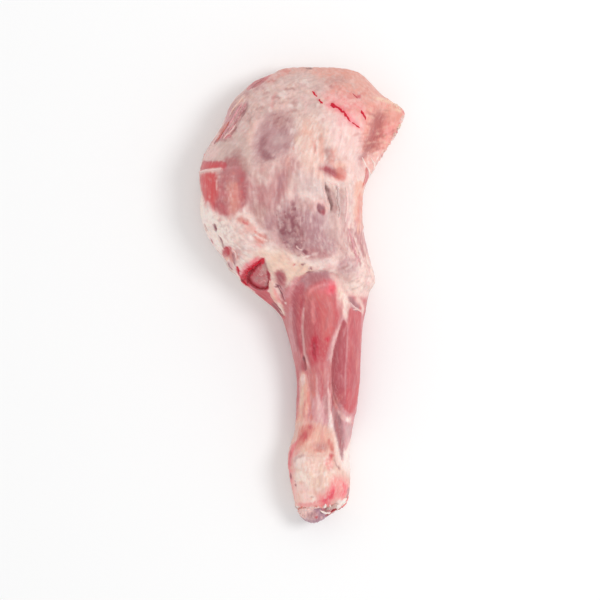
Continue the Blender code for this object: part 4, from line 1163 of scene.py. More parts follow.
KNUCKLE_PAINT = (
    patch("knuckle", PEACH, .95, 8, 290, 424, 330, 428, 341, 466, 364, 486, 357, 507, 320, 514, 285, 512, 275,
        482, 279, 450, ragged=2),
    patch("salmon top", ORANGE_FAT, .8, 9, 304, 426, 326, 428, 334, 442, 330, 452, 308, 452, 300, 445,
        ragged=2),
    patch("red top", ROSE_SALMON, .95, 5, 302, 427, 312, 424, 314, 430, 309, 438, 303, 444, 295, 449, 298,
        438, ragged=2),
    stroke("its deep part", ROSE_MUSCLE, .45, 4, 3, 309, 429, 305, 435, 299, 441),
    spot("first red spot", ROSE_MUSCLE, .8, 3, 310, 427, 2.4, 2.4),
    spot("second red spot", ROSE_MUSCLE, .55, 4, 305, 436, 3, 3.4),
    stroke("red rim", HOT_PINK, .62, 4, 2, 300, 438, 293, 448, 289.5, 462, 289.5, 478, 293, 491, ragged=1.2),
    stroke("dark line in the rim", ROSE_MUSCLE, .55, 1.6, .7, 291, 450, 289.5, 460, 290, 472),
    stroke("pink down the left side", BLUSH, .7, 4, 2.2, 291, 474, 293, 486, 294, 498, 296, 508),
    stroke("pink beside the rim", BLUSH, .55, 4, 2.4, 301, 446, 295, 456, 293, 472, 296, 488),
    spot("brown patch", DUSTY_ROSE, .7, 8, 321, 447, 7, 3.8, ragged=2),
    stroke("red thread in it", ROSE_SALMON, .6, 3, 1.4, 324, 451, 319, 451, 313, 449),
    stroke("red fold", ROSE_SALMON, .9, 3.4, 2.2, 327, 437, 331, 446, 332, 456, 329, 464),
    spot("its red end", ROSE_MUSCLE, .7, 2.4, 331, 456, 1.8, 2.2),
    spot("blush under it", BLUSH, .7, 5, 329, 464, 4.5, 5.5),
    stroke("crease", BROWN_ROSE, .8, 1.4, .8, 333, 456, 336, 464, 341, 471),
    patch("white patch", FAT_WHITE, .6, 5, 294, 457, 304, 455, 307, 464, 301, 470, 294, 466),
    stroke("grey arc", BROWN_ROSE, .55, 3, 1.7, 294, 464, 297, 458, 306, 455),
    patch("brown flecks", BROWN_ROSE, .6, 5, 303, 454, 318, 454, 322, 468, 304, 470,
        grain=Grain(1.2, 1.5, 0, .45, .75)),
    patch("cream blotches", YELLOW_FAT, .5, 8, 298, 468, 330, 460, 334, 486, 300, 490, ragged=2,
        grain=BLOTCHES),
    patch("white blotches", FAT_WHITE, .6, 8, 300, 466, 330, 462, 334, 486, 300, 488, ragged=2,
        grain=MOTTLES),
    patch("pink foot", BLUSH, .35, 10, 296, 496, 330, 492, 336, 508, 316, 514, 296, 514, ragged=2.5),
    # painted light on the knuckle's lower end and left side, which turn away from the lamp
    patch("bright foot", BRIGHT_FAT, .8, 6, 298, 494, 314, 494, 318, 508, 310, 516, 298, 514),
    patch("bright left side", BRIGHT_FAT, .75, 7, 294, 476, 306, 474, 312, 492, 314, 508, 308, 516, 298, 512,
        ragged=2),
    patch("warmth in it", BLUSH, .25, 6, 294, 484, 306, 484, 312, 500, 308, 512, 298, 510, ragged=2),
    spot("warm left corner", ORANGE_FAT, .45, 6, 298, 501, 4, 7),
    patch("blush of the right side", BLUSH, .8, 10, *KNUCKLE_BLUSH, ragged=2.5),
    stroke("hot streak", HOT_PINK, .66, 7, 2.6, 333, 484, 333, 491, 329, 498, 318, 502, ragged=2),
    spot("its hot foot", HOT_PINK, .6, 3, 326, 503.5, 4.5, 2.4),
    stroke("second hot streak", HOT_PINK, .6, 5, 1.8, 343, 482, 345, 490, 340, 497),
    stroke("deep red in it", BLOOD, .45, 3.5, 1.2, 334, 490, 331, 497, 322, 502),
    patch("pale streaks over it", FAT_WHITE, .35, 5, *KNUCKLE_BLUSH, grain=Grain(1.6, 6, -35, .05, .6)),
    spot("dark fleck", DARK_MAUVE, .75, 1.6, 313, 497, 2, 1.1),
    spot("upper pore", PLUM, .6, .9, 295, 481, .6, .7),
    spot("lower pore", PLUM, .6, .9, 295.5, 485, .6, .7),
    spot("dark bead on the rim", PLUM, .65, 1.4, 291, 476, 1.1, 2.6),
    spot("white lobe", FAT_WHITE, .85, 3, 341, 503, 4.5, 4.5),
    spot("pink in the lobe", BLUSH, .6, 3, 343, 498, 3, 2),
    stroke("dark edge of the lobe", MAUVE, .8, 1.4, .9, 349, 486, 348, 496, 345, 504),
    stroke("salmon line over the end", BLUSH, .8, 3, 2.2, 295, 503, 304, 505, 314, 504.5, 325, 502),
)
FIELDS = (
    Field("broad blotches of the upper film", 44, (5, 16), 4, .26, -.1, (BROWN_ROSE, GREY_BEIGE), (262, 84,
        244, 108, 238, 140, 256, 118, 296, 110, 330, 104, 316, 80, 284, 74), -74),
    Field("broad light blotches", 52, (5, 16), 3.4, .34, .15, (PALE_PINK, PEACH, FAT_WHITE), (262, 84, 244,
        108, 238, 140, 256, 118, 296, 110, 330, 104, 316, 80, 284, 74), -66),
    Field("blotches of the upper film", 120, (3, 10), 2, .24, -.08, (BROWN_ROSE, GREY_BEIGE, DUSTY_ROSE),
        (262, 82, 244, 108, 236, 140, 250, 166, 262, 118, 296, 112, 330, 104, 316, 78, 284, 72), -76),
    Field("light blotches of the upper film", 120, (4, 11), 1.9, .26, .1, (PALE_PINK, PEACH, FAT_WHITE), (262,
        82, 244, 108, 236, 140, 250, 166, 262, 118, 296, 112, 330, 104, 316, 78, 284, 72), -72),
    Field("streaks of the salmon corner", 70, (4, 11), 1.6, .3, .15, (PEACH, SALMON, ROSE_SALMON, PALE_PINK),
        (318, 72, 352, 70, 384, 98, 366, 120, 334, 100), -60),
    Field("streaks in the middle", 80, (12, 28), 1.8, .17, .08, (PALE_PINK, FAT_WHITE, PEACH, ORANGE_FAT),
        (292, 120, 290, 168, 306, 196, 350, 190, 358, 124, 326, 108)),
    Field("rosy streaks in the middle", 24, (8, 20), 1.3, .25, -.1, (SALMON, BROWN_ROSE, ROSE_SALMON), (308,
        128, 310, 166, 342, 170, 346, 130)),
    Field("streaks over the columns", 80, (10, 24), 1.4, .2, .1,
        (PALE_PINK, GREY_PINK, FAT_WHITE, DUSTY_ROSE), (250, 160, 252, 210, 296, 206, 316, 190, 302, 158)),
    Field("streaks over the dark muscle", 120, (6, 18), 1, .3, .12, (GREY_PINK, PALE_PINK, MAUVE, BROWN_ROSE),
        (274, 206, 272, 240, 300, 256, 338, 254, 338, 222, 314, 196, 294, 192)),
    Field("dark dots of the dark muscle", 34, (.6, 2.2), .9, .55, -.12, (PLUM, DARK_MAUVE), (278, 206, 276,
        238, 300, 250, 306, 222, 296, 200), -30),
    Field("streaks by the right foot", 60, (10, 24), 1.2, .32, .15, (PALE_PINK, FAT_WHITE, FASCIA, LILAC),
        (342, 196, 340, 256, 368, 264, 362, 196)),
    Field("streaks of the flap", 90, (4, 11), 1.1, .38, .14, (YELLOW_FAT, SALMON, ORANGE_FAT, FLAP_DEEP),
        (368, 112, 402, 106, 396, 138, 382, 158, 362, 156), -82),
    Field("streaks down the shank", 70, (14, 30), 1.1, .22, .12, (PALE_PINK, FASCIA, ORANGE_FAT, ROSE_SALMON),
        (297, 356, 296, 424, 332, 428, 334, 362)),
    Field("soft streaks of the muscles", 110, (14, 34), 1.3, .2, .1,
        (ROSE_SALMON, DUSKY_MUSCLE, PINK_MUSCLE, DEEP_MUSCLE), (290, 290, 300, 276, 336, 280, 360, 320, 354,
        404, 338, 400, 330, 330, 314, 356, 292, 340)),
    Field("blotches of the left fat", 90, (3, 9), 1.6, .3, .14, (GREY_PINK, FAT_WHITE, PALE_PINK), (206, 210,
        236, 218, 266, 228, 284, 256, 262, 256, 240, 266, 218, 250), -46),
    Field("wrinkles of the knee cover", 60, (6, 16), 1.3, .34, .2, (PALE_PINK, FAT_WHITE, GREY_BEIGE), (296,
        254, 302, 266, 346, 266, 368, 292, 374, 272, 352, 252), -66),
    Field("mottles of the bare muscle", 60, (2, 7), 1.5, .3, .1,
        (PALE_PINK, ROSE_MUSCLE, ROSE_SALMON, SALMON), (202, 174, 246, 174, 246, 204, 230, 216, 214, 214)),
    Field("blotches of the knuckle", 70, (2.5, 7), 1.9, .28, .12,
        (FAT_WHITE, YELLOW_FAT, PALE_PINK, ORANGE_FAT), (298, 452, 294, 484, 310, 500, 334, 488, 334, 450),
        -20),
)
MARK_PAINT = (
    stroke("upper brown mark", BROWN_ROSE, .8, 2.4, 1.2, 284, 90, 290, 89, 297, 90),
    stroke("middle brown mark", BROWN_ROSE, .75, 2.4, 1.3, 271, 99, 276, 97, 281, 98),
    stroke("lower brown mark", BROWN_ROSE, .65, 2.4, 1.3, 255, 110, 260, 108, 264, 108),
    stroke("mark over the hollow", BROWN_ROSE, .6, 3, 1.4, 285, 113, 292, 111, 300, 111),
    stroke("salmon thread", BLUSH, .3, 3, 1.2, 277, 90, 273, 99, 271, 110),
    stroke("mark on the left", BROWN_ROSE, .55, 2.4, 1.1, 247, 112, 251, 118, 249, 126),
    stroke("short mark", BROWN_ROSE, .55, 2.2, 1, 262, 96, 266, 93, 271, 92),
    stroke("long mark", BROWN_ROSE, .55, 2.4, 1, 276, 105, 284, 102, 292, 103, 299, 101),
    stroke("pale fold over the hollow", PALE_PINK, .55, 4, 2, 266, 116, 258, 124, 254, 134),
    stroke("pale fold on the right", PALE_PINK, .45, 5, 2.4, 302, 92, 306, 104, 304, 116),
    spot("violet spot", PLUM, .85, 3, 321.5, 209.5, 3.6, 5, -25),
    spot("its red edge", ROSE_MUSCLE, .4, 2.4, 323, 212, 2.2, 2.4),
    patch("red crescent", ROSE_MUSCLE, .66, 2.4, 247, 90, 252, 82, 258, 76, 268, 72, 271, 74, 265, 81, 257,
        87, ragged=1.2),
    stroke("dusky lower edge of it", DARK_MAUVE, .45, 2.2, 1.2, 249, 89, 258, 85, 266, 79),
    # painted shade at the pocket's deep end
    stroke("deep end of the pocket", DEEP_MUSCLE, .6, 2.6, 1.5, 324, 168.5, 328, 169.5, 332, 172),
    spot("brown-rose over the pocket", BROWN_ROSE, .45, 5, 328, 152, 3.5, 7),
    spot("cream by the arch", CREAM, .6, 3.5, 290, 283, 3, 3.6),
    spot("pale corner of the lobe", PALE_PINK, .5, 3, 357, 300, 2.6, 3),
    # painted light at the sheath's pale end
    spot("pale end of the sheath with painted light", BRIGHT_FAT, .65, 3, 345, 314, 2.4, 5, -5),
    stroke("dusk by the sheath", DEEP_MUSCLE, .6, 2.4, 1.5, 303.5, 297, 303, 304, 302.5, 309),
    stroke("upper nick", PLUM, .85, 1.5, .8, 213, 223, 214.5, 227, 215.5, 231),
    stroke("middle nick", DARK_MAUVE, .85, 1.4, .6, 218, 236, 221, 242, 223, 248),
    stroke("outer nick", BROWN_ROSE, .85, 1.4, .6, 204, 223, 206, 228, 208, 232),
    spot("halo of the blood dot", BLUSH, .45, 2.6, 210.5, 242, 3, 4.2, -20),
    spot("blood dot", PLUM, .85, 1.4, 210.5, 241, 1.4, 2.6, -20),
    stroke("cream of the flap's rim", PALE_PINK, .6, 1.8, 1.5, 404, 113, 401, 122, 396, 134, 391, 145),
    spot("light left of the valley", PALE_PINK, .5, 4, 360.5, 144, 3, 6),
    spot("light between the ridges", CREAM, .5, 3, 345, 193, 2.4, 5),
    spot("light over the heart", PALE_PINK, .45, 4, 291, 198, 3, 5),
    # painted light on the fat beside the pocket, and on its edge by the drop, which lies in shade
    spot("bright fat by the pocket", BRIGHT_FAT, .5, 3.5, 249, 258, 5, 3.5, -30),
    spot("bright edge by the drop", BRIGHT_FAT, .75, 2, 236.5, 279, 2.2, 4.5, -25),
)
UNDER_PAINT = (
    patch("inner thigh", PINK_MUSCLE, .8, 26, 262, 96, 330, 92, 364, 120, 352, 200, 348, 250, 300, 262, 240,
        250, 216, 200, 230, 140, ragged=5, under=True),
    patch("its deeper middle", DUSKY_MUSCLE, .55, 24, 270, 120, 320, 112, 340, 160, 330, 220, 290, 236, 252,
        210, 250, 160, ragged=5, grain=BLOTCHES, under=True),
    patch("film over it", FASCIA, .55, 20, 250, 90, 370, 90, 366, 260, 240, 270, 205, 190, ragged=4,
        grain=STRANDS, under=True),
    patch("fat in the film", FAT_WHITE, .6, 20, 250, 90, 370, 90, 366, 260, 240, 270, 205, 190, ragged=4,
        grain=BLOTCHES, under=True),
    stroke("seam between the muscles", FAT_WHITE, .85, 4, 2.6, 330, 90, 318, 130, 296, 175, 284, 225, 298,
        262, under=True),
    stroke("seam towards the flap", FAT_WHITE, .75, 4, 2, 390, 120, 356, 140, 320, 150, 300, 168, under=True),
    patch("back of the shank", ROSE_MUSCLE, .85, 12, 284, 280, 360, 276, 362, 400, 346, 440, 300, 430, 290,
        360, ragged=3, under=True),
    stroke("sheath down the shank", FASCIA, .85, 5, 3, 322, 276, 326, 330, 322, 390, 318, 440, under=True),
    patch("tendons above the knuckle", PALE_PINK, .8, 12, 300, 410, 346, 410, 346, 480, 300, 480, ragged=2,
        grain=STRANDS, under=True),
)
PAINT = (FLANK_PAINT + UPPER_PAINT + HOLLOW_PAINT + POCKET_PAINT + LEFT_PAINT
         + PURPLE_PAINT + FAT_PAINT + FLAP_PAINT + SHANK_PAINT + EDGE_PAINT
         + LOWER_PAINT + KNUCKLE_PAINT + FIELDS + MARK_PAINT + UNDER_PAINT)

RELIEF = (
    bump("hollow", -1.2, 14, 266, 147, 10, 14, -15),
    bump("hollow above it", -.7, 10, 281, 120, 10, 7),
    ridge("ridge left of the hollow", .7, 8, 3.5, 262, 104, 254, 126, 248, 150, 247, 172),
    ridge("lip of the hollow", .5, 6, 3, 254, 168, 268, 167, 284, 158, 296, 152),
    ridge("middle column", .5, 12, 7, 308, 112, 305, 140, 311, 166),
    ridge("rose column", -.6, 8, 5, 290, 160, 281, 180, 274, 206),
    ridge("left rose column", -.4, 5, 3.5, 262, 180, 261, 208),
    ridge("pocket", -1.4, 4, 1.8, 319, 169, 327, 170, 334, 174, 341, 180, taper=.3),
    bump("bump right of the pocket", .6, 5, 340, 170, 5, 5),
    ridge("slit", -1.5, 2.4, 1.1, *SLIT),
    ridge("hollow right of the slit", -.9, 4, 2.4, 331, 188, 335, 198, 336, 208),
    ridge("ridge right of the slit", .6, 3, 1.6, 337, 184, 338, 197, 340, 209, 339, 219),
    ridge("grey fold", -.7, 3, 1.8, *GREY_FOLD),
    ridge("ridge right of the fold", .4, 3, 1.6, 346, 186, 347, 204, 346, 222),
    ridge("groove by the orange band", -.5, 3.5, 1.8, 353, 184, 353, 205, 353, 228),
    ridge("orange band", .5, 4, 3, 360, 186, 360, 206, 358, 228),
    bump("violet spot", -.6, 3, 321, 208, 3.4, 4.8, -25),
    swell("muscle under the film", -.5, 14, *PURPLE),
    swell("strands over it", .3, 10, *PURPLE, ragged=1, grain=STRANDS),
    swell("strands in the middle", .28, 10, 296, 116, 298, 180, 350, 226, 350, 130, ragged=1, grain=STRANDS),
    ridge("knots", .5, 2.6, 2.2, 292, 252, 300, 253, 309, 256),
    ridge("knee arch", .8, 3, 1.8, 288, 293, 291, 284, 297, 276, 305, 270.5, 318, 268.5, 332, 269.5, 342, 279,
        349, 293, 355, 302, 362, 310, taper=.1),
    swell("muscle under the arch", -.5, 5, *KNEE_BAND),
    swell("creases over the knee", .4, 8, 330, 256, 370, 262, 374, 290, 350, 290, 336, 270, ragged=1,
        grain=CREASES),
    swell("right foot streaks", .5, 6, 344, 226, 366, 224, 374, 264, 352, 266, ragged=1, grain=STRANDS),
    swell("main belly", .7, 7, *MAIN_BELLY),
    swell("second belly", .3, 5, *SECOND_BELLY),
    ridge("groove by the sheath", -.5, 2.6, 1.6, 303.5, 296, 302, 315, 301.5, 332, 303, 352),
    ridge("belly sheath", .35, 1.8, 1.1, *BELLY_SHEATH),
    ridge("pink sheath", .4, 3.5, 2.4, 343, 318, 336, 340, 331, 362, 329, 388),
    swell("right muscle", .5, 3.5, *RIGHT_MUSCLE),
    ridge("groove beside it", -.4, 2, 1.2, 345, 318, 339, 331, 334, 350, 331.5, 378, 335, 400),
    swell("outer muscle", .4, 3.5, *OUTER_MUSCLE),
    ridge("seam", -.35, 1.6, .9, *MUSCLE_SEAM),
    ridge("V of film", .35, 1.8, 1.4, *V_END),
    swell("bare muscle", -.6, 3.5, *BARE),
    swell("red strip", -.5, 2.4, *RED_STRIP),
    ridge("cream line", .5, 1.8, 1.5, *BARE_EDGE, taper=.12),
    ridge("cream gap", .4, 2.4, 2, 207, 199, 210, 207, 212, 217),
    ridge("upper nick", -1, 1.6, 1.3, 213, 223, 214.5, 227, 216, 232),
    ridge("middle nick", -.8, 1.6, 1.1, 218, 236, 221, 242, 223, 248),
    swell("blood pocket", -.8, 3.5, *BLOOD_POCKET),
    ridge("rim of the blood pocket", .3, 2.2, 1.3, *POCKET_RIM),
    swell("fold", -.8, 4, *FOLD),
    ridge("line of the fold", -.5, 1.8, .8, *FOLD_LINE),
    swell("cream strip", .6, 2.2, *CREAM_STRIP),
    ridge("valley of the flap", -.8, 9, 6, *FLAP_VALLEY, taper=.12),
    swell("streaks of the flap", .25, 5, *FLAP, ragged=1, grain=FLAP_STRANDS),
    ridge("ragged rim", .8, 2.4, 2, *FLAP_RIM, ragged=1.2, grain=Grain(2, 2, 0, -.1, .3)),
    swell("white band", .4, 3.5, *WHITE_BAND),
    swell("orange tendon", .5, 3.5, *TENDON),
    ridge("groove right of it", -.5, 2.2, 1.2, 310, 380, 310, 398, 311, 420),
    ridge("groove by the white band", -.4, 2.4, 1.3, 326, 384, 326.5, 400, 327, 420),
    ridge("groove at the dark seam", -.6, 2, 1.4, 334, 394, 335, 406, 337, 420),
    ridge("dark slit", -.9, 1.6, 1.3, 303.5, 355, 304.5, 364, 306, 372),
    swell("strands on the shank's foot", .15, 6, 296, 380, 334, 380, 346, 440, 340, 452, 294, 440, ragged=1,
        grain=STRANDS),
    bump("top of the knuckle", .4, 6, 314, 441, 9, 6),
    bump("white patch", .4, 5, 300, 463, 6, 6),
    ridge("crease of the knuckle", -.6, 2, 1.1, 331, 450, 334, 460, 341, 471),
    bump("swelling of the knuckle", .5, 10, 315, 478, 13, 11),
    bump("lobe by the end", .6, 4, 341, 502, 4.5, 5),
    ridge("dark seam of the strips", -.5, 1.6, .9, 248, 99, 246, 108, 241, 118, 236, 127, 231, 135),
    ridge("outer strip", .5, 2.4, 1.8, 236, 102, 231, 112, 226, 124, 220, 135),
    ridge("brown outline", -.4, 1.6, 1, 227, 113, 233, 103, 240, 96, 249, 89),
    bump("hole of the loop", -.8, 2.2, 227, 253, 3.2, 5.5),
    ridge("right rim of the loop", .5, 1.8, 1.2, 231, 247, 235, 254, 237, 262, 236, 268),
    ridge("strand in the loop", .5, 1.6, 1, 225, 260, 228, 267, 232, 273),
)

BONE_PAINT = (
    stroke("rosy rim", LILAC, .8, 3.5, 2.6, 308, 525, 316, 527, 324, 526, 330, 520),
    stroke("rose in the rim", ROSE_MUSCLE, .4, 2.5, 1.6, 317, 524, 322, 524, 327, 520),
    # painted light on the end's left side, which faces down and away from the lamp
    spot("pale left side with painted light", BRIGHT_FAT, .95, 4, 305, 512, 11, 6, 20),
    spot("rosy right side", HOT_PINK, .5, 4, 327, 508, 5, 4),
    spot("pink of it", BLUSH, .25, 5, 305, 512, 10, 5, 20),
    stroke("dark cartilage", DARK_MAUVE, .65, 3.4, 1.8, 308, 517, 312, 514, 317, 512),
    spot("purple of the cartilage", MAUVE, .55, 5, 313, 516, 7, 4),
    spot("crimson spot", ROSE_MUSCLE, .8, 1.6, 317, 517, 1.5, 1.3),
    spot("raw right side", ROSE_SALMON, .85, 4, 336, 514, 8, 6, -25),
    stroke("dark gap", SHADOW, .85, 1.8, 1.6, 320, 513, 324, 512, 328, 511),
    stroke("dark right edge", PLUM, .8, 1.8, 1.4, 328, 518, 333, 515, 339, 511),
    spot("mottles", PALE_PINK, .5, 4, 318, 516, 24, 12, ragged=1, grain=MOTTLES),
)
BONE_RELIEF = (
    ridge("gap between the condyles", -1.4, 3, 1.8, 324, 506, 327, 513, 327, 521),
    bump("low right side", -2.2, 5, 337, 516, 8, 6),
    bump("left condyle", .5, 5, 313, 518, 8, 5),
    bump("notch in its rim", -.7, 3, 304, 524, 3, 3),
    bump("pits", -.5, 3, 318, 516, 22, 12, ragged=1, grain=MOTTLES),
)


class Signal:
    """One output in a node tree, with the operators that shader maths needs."""

    def __init__(self, graph: "Graph", socket: bpy.types.NodeSocket) -> None:
        """Wraps an output socket of a graph."""
        self.graph = graph
        self.socket = socket

    def _math(self, operation: str, first: "Number", second: "Number") -> "Signal":
        """Adds a Math node."""
        return self.graph.node("ShaderNodeMath", {"operation": operation}, {0: first, 1: second})

    def __add__(self, other: "Number") -> "Signal":
        """Sum."""
        return self._math("ADD", self, other)

    def __sub__(self, other: "Number") -> "Signal":
        """Difference."""
        return self._math("SUBTRACT", self, other)

    def __rsub__(self, other: "Number") -> "Signal":
        """Difference from a number."""
        return self._math("SUBTRACT", other, self)

    def __mul__(self, other: "Number") -> "Signal":
        """Product."""
        return self._math("MULTIPLY", self, other)

    __radd__, __rmul__ = __add__, __mul__

    def eased(self, low: float, high: float) -> "Signal":
        """Smooth step from 0 at low to 1 at high."""
        settings = {"interpolation_type": "SMOOTHSTEP"}
        return self.graph.node("ShaderNodeMapRange", settings, {"Value": self, 1: low, 2: high})


Number = Union[Signal, float]


class Graph:
    """The node tree of one new material."""

    def __init__(self, name: str) -> None:
        """Starts a material with an empty tree.

        Args:
            name: The material's name.
        """
        self.material = bpy.data.materials.new(name)
        self.material.use_nodes = True
        self.tree = self.material.node_tree
        self.tree.nodes.clear()

    def node(self, kind: str, settings: dict | None = None, sockets: dict | None = None,
             output: Union[int, str] = 0) -> Signal | None:
        """Adds a node.

        Args:
            kind: The node's type.
            settings: Its settings, which are set first.
            sockets: Values or signals for its inputs, by name or number.
            output: The output that is wanted.

        Returns:
            That output, or nothing where the node has none.
        """
        made = self.tree.nodes.new(kind)
        for name, value in (settings or {}).items():
            setattr(made, name, value)
        for name, value in (sockets or {}).items():
            if isinstance(value, Signal):
                self.tree.links.new(value.socket, made.inputs[name])
            else:
                made.inputs[name].default_value = value
        return Signal(self, made.outputs[output]) if len(made.outputs) else None

    def attribute(self, name: str, output: str = "Fac") -> Signal:
        """A value that the mesh carries."""
        return self.node("ShaderNodeAttribute", {"attribute_name": name}, None, output)

    def noise(self, place: Signal, sizes: tuple[float, float, float], detail: float = 3) -> Signal:
        """Noise from 0 to 1 over a piece.

        Args:
            place: Place on the piece.
            sizes: Size of the spots along each axis, in the place's unit.
            detail: How many finer octaves it has.

        Returns:
            The noise.
        """
        scale = tuple(1 / size for size in sizes)
        scaled = self.node("ShaderNodeVectorMath", {"operation": "MULTIPLY"}, {0: place, 1: scale})
        return self.node("ShaderNodeTexNoise", None, {"Vector": scaled, "Scale": 1, "Detail": detail})

    def mix(self, factor: Number, first: Signal, second: Union[Signal, tuple]) -> Signal:
        """Mix of two colours, with the factor as the share of the second."""
        settings = {"data_type": "RGBA", "clamp_factor": True}
        return self.node("ShaderNodeMix", settings, {0: factor, 6: first, 7: second}, 2)

    def bump(self, height: Signal, distance: float) -> Signal:
        """The normal of fine bumps, from their height and the distance that a height of 1 stands for."""
        return self.node("ShaderNodeBump", None, {"Height": height, "Distance": distance, "Strength": 1})

    def finish(self, sockets: dict) -> Material:
        """Closes the graph with a Principled BSDF.

        Args:
            sockets: Values or signals for its inputs, by name.

        Returns:
            The material.
        """
        shader = self.node("ShaderNodeBsdfPrincipled", None, sockets)
        self.node("ShaderNodeOutputMaterial", None, {"Surface": shader})
        return self.material


@dataclass(frozen=True)
class FleshFinish:
    """Raw flesh under its moist film, in the tints that the skin carries."""

    dry: float = .6  # roughness of the driest places
    wet: float = .3  # how much smoother the wettest places are
    coat: float = .24  # weight of the moist film
    coat_roughness: float = .25
    under_skin: float = .15  # share of light that enters the flesh
    under_skin_m: float = 1.2 * MM  # how far it spreads
    bump_m: float = .12 * MM  # height of the finest wrinkles
    fine_mm: tuple[float, float, float] = (1.3, 1.8, 1.3)  # size across the comb, along it and up
    spot_mm: tuple[float, float, float] = (3, 4.5, 3)
    fibre_mm: tuple[float, float, float] = (.8, 26, 1.6)
    thread_mm: tuple[float, float, float] = (1.9, 16, 2.6)
    paleness: float = .5  # share of fat in the pale tint
    rosiness: float = .35  # share of mauve in the rosy tint

    def material(self) -> Material:
        """Makes the material.

        Returns:
            The material.
        """
        graph = Graph("flesh_finish")
        tint, bare, wet = graph.attribute("tint", "Color"), graph.attribute("bare"), graph.attribute("wet")
        comb = graph.attribute("comb", "Vector")
        fine = graph.noise(comb, self.fine_mm)
        spots = graph.noise(comb, self.spot_mm)
        fibres = graph.noise(comb, self.fibre_mm)
        threads = graph.noise(comb, self.thread_mm, 2)
        film = 1 - bare
        clear = 1 - wet * wet
        pale = graph.mix(self.paleness, tint, FAT_WHITE.linear)
        rosy = graph.mix(self.rosiness, tint, DARK_MAUVE.linear)
        colour = graph.mix(spots.eased(.48, .75) * film * clear * .45, tint, pale)
        colour = graph.mix(spots.eased(.52, .28) * film * .35, colour, rosy)
        colour = graph.mix(fine.eased(.52, .78) * (1 - .7 * bare) * .35, colour, rosy)
        colour = graph.mix(threads.eased(.52, .74) * (.34 - .22 * bare) * clear, colour, pale)
        colour = graph.mix(fibres.eased(.52, .3) * (.12 + .3 * bare), colour, rosy)
        height = fine * .5 + spots * .35 + threads * (.35 + .25 * bare)
        return graph.finish({
            "Base Color": colour,
            "Roughness": self.dry - self.wet * wet + (spots - .5) * .3,
            "Coat Weight": self.coat * wet + self.coat * .4,
            "Coat Roughness": self.coat_roughness,
            "Subsurface Weight": self.under_skin,
            "Subsurface Radius": (1, .35, .25),
            "Subsurface Scale": self.under_skin_m,
            "Normal": graph.bump(height, self.bump_m),
        })


@dataclass(frozen=True)
class BloodFinish:
    """Fresh blood in the strands' tints."""

    roughness: float = .38
    coat: float = .12  # weight of its film
    coat_roughness: float = .12
    gloss: float = .25  # how strongly it mirrors
    clot_m: float = .8 * MM
    bump_m: float = .1 * MM  # height of its clots

    def material(self) -> Material:
        """Makes the material.

        Returns:
            The material.
        """
        graph = Graph("blood_finish")
        place = graph.node("ShaderNodeTexCoord", output="Object")
        clots = graph.noise(place, (self.clot_m,) * 3)
        colour = graph.mix(clots.eased(.52, .7) * .35, graph.attribute("tint", "Color"), DARK_BLOOD.linear)
        return graph.finish({"Base Color": colour, "Roughness": self.roughness, "Coat Weight": self.coat,
                             "Coat Roughness": self.coat_roughness, "Specular IOR Level": self.gloss,
                             "Normal": graph.bump(clots, self.bump_m)})


def linked(name: str, data: bpy.types.ID) -> bpy.types.Object:
    """Puts a mesh, a light or a camera into the scene.

    Args:
        name: The object's name.
        data: What it shows.

    Returns:
        The object.
    """
    made = bpy.data.objects.new(name, data)
    bpy.context.scene.collection.objects.link(made)
    return made


def piece_of(name: str, mesh: Mesh, finish: Material) -> bpy.types.Object:
    """A dressed piece that rides on the leg.

    Args:
        name: The piece's name.
        mesh: Its mesh.
        finish: Its material.

    Returns:
        The piece.
    """
    mesh.materials.clear()
    mesh.materials.append(finish)
    mesh.shade_smooth()
    piece = linked(name, mesh)
    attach(piece, BODY)
    log.info("%s: %d points, %d faces", name, len(mesh.vertices), len(mesh.polygons))
    return piece


def rows_of(items: bpy.types.bpy_prop_collection, field: str, width: int = 3, kind: type = float) -> Array:
    """One field of a mesh's points, normals or edges.

    Args:
        items: The items.
        field: The field's name.
        width: How many numbers it holds.
        kind: Type of the numbers.

    Returns:
        The numbers, one row for each item.
    """
    flat = np.empty(len(items) * width, kind)
    items.foreach_get(field, flat)
    return flat.reshape(-1, width)


def read_points(mesh: Mesh) -> Array:
    """A mesh's points."""
    return rows_of(mesh.vertices, "co")


def read_normals(mesh: Mesh) -> Array:
    """A mesh's direction at each of its points."""
    return rows_of(mesh.vertex_normals, "vector")


def read_edges(mesh: Mesh) -> Array:
    """The numbers of the two points of each of a mesh's edges."""
    return rows_of(mesh.edges, "vertices", 2, np.int32)


def write_points(mesh: Mesh, points: Array) -> None:
    """Moves a mesh's points."""
    mesh.vertices.foreach_set("co", points.ravel())
    mesh.update()


def way_below(points: Array, edges: Array, open_sky: Array, rounds: int = 70) -> Array:
    """Measures along the edges how far each point lies below those that are open to the sky.

    Args:
        points: Points in metres.
        edges: Pairs of point numbers.
        open_sky: Which points are open.
        rounds: Rounds of the measuring.

    Returns:
        Metres, 0 where a point is open.
    """
    way = np.where(open_sky, 0.0, 1.0)
    ends = edges[~open_sky[edges].all(axis=1)]
    lengths = np.linalg.norm(points[ends[:, 0]] - points[ends[:, 1]], axis=1)
    for _ in range(rounds):
        np.minimum.at(way, ends[:, 0], way[ends[:, 1]] + lengths)
        np.minimum.at(way, ends[:, 1], way[ends[:, 0]] + lengths)
    return way


def relaxed(points: Array, edges: Array, rounds: int, free: Array) -> Array:
    """Points smoothed over their edges, without shrinking.

    Args:
        points: The points.
        edges: The edges between them.
        rounds: How often each is drawn to its neighbours and pushed back.
        free: How freely each point moves, from 0 to 1.

    Returns:
        The smoothed points.
    """
    counts = np.maximum(1, np.bincount(edges.ravel(), minlength=len(points)))
    made = points.copy()
    for share in (.5, -.52) * rounds:
        for axis in range(3):
            column = made[:, axis]
            total = np.bincount(edges[:, 0], column[edges[:, 1]], len(points))
            total += np.bincount(edges[:, 1], column[edges[:, 0]], len(points))
            made[:, axis] = column + (total / counts - column) * share * free
    return made


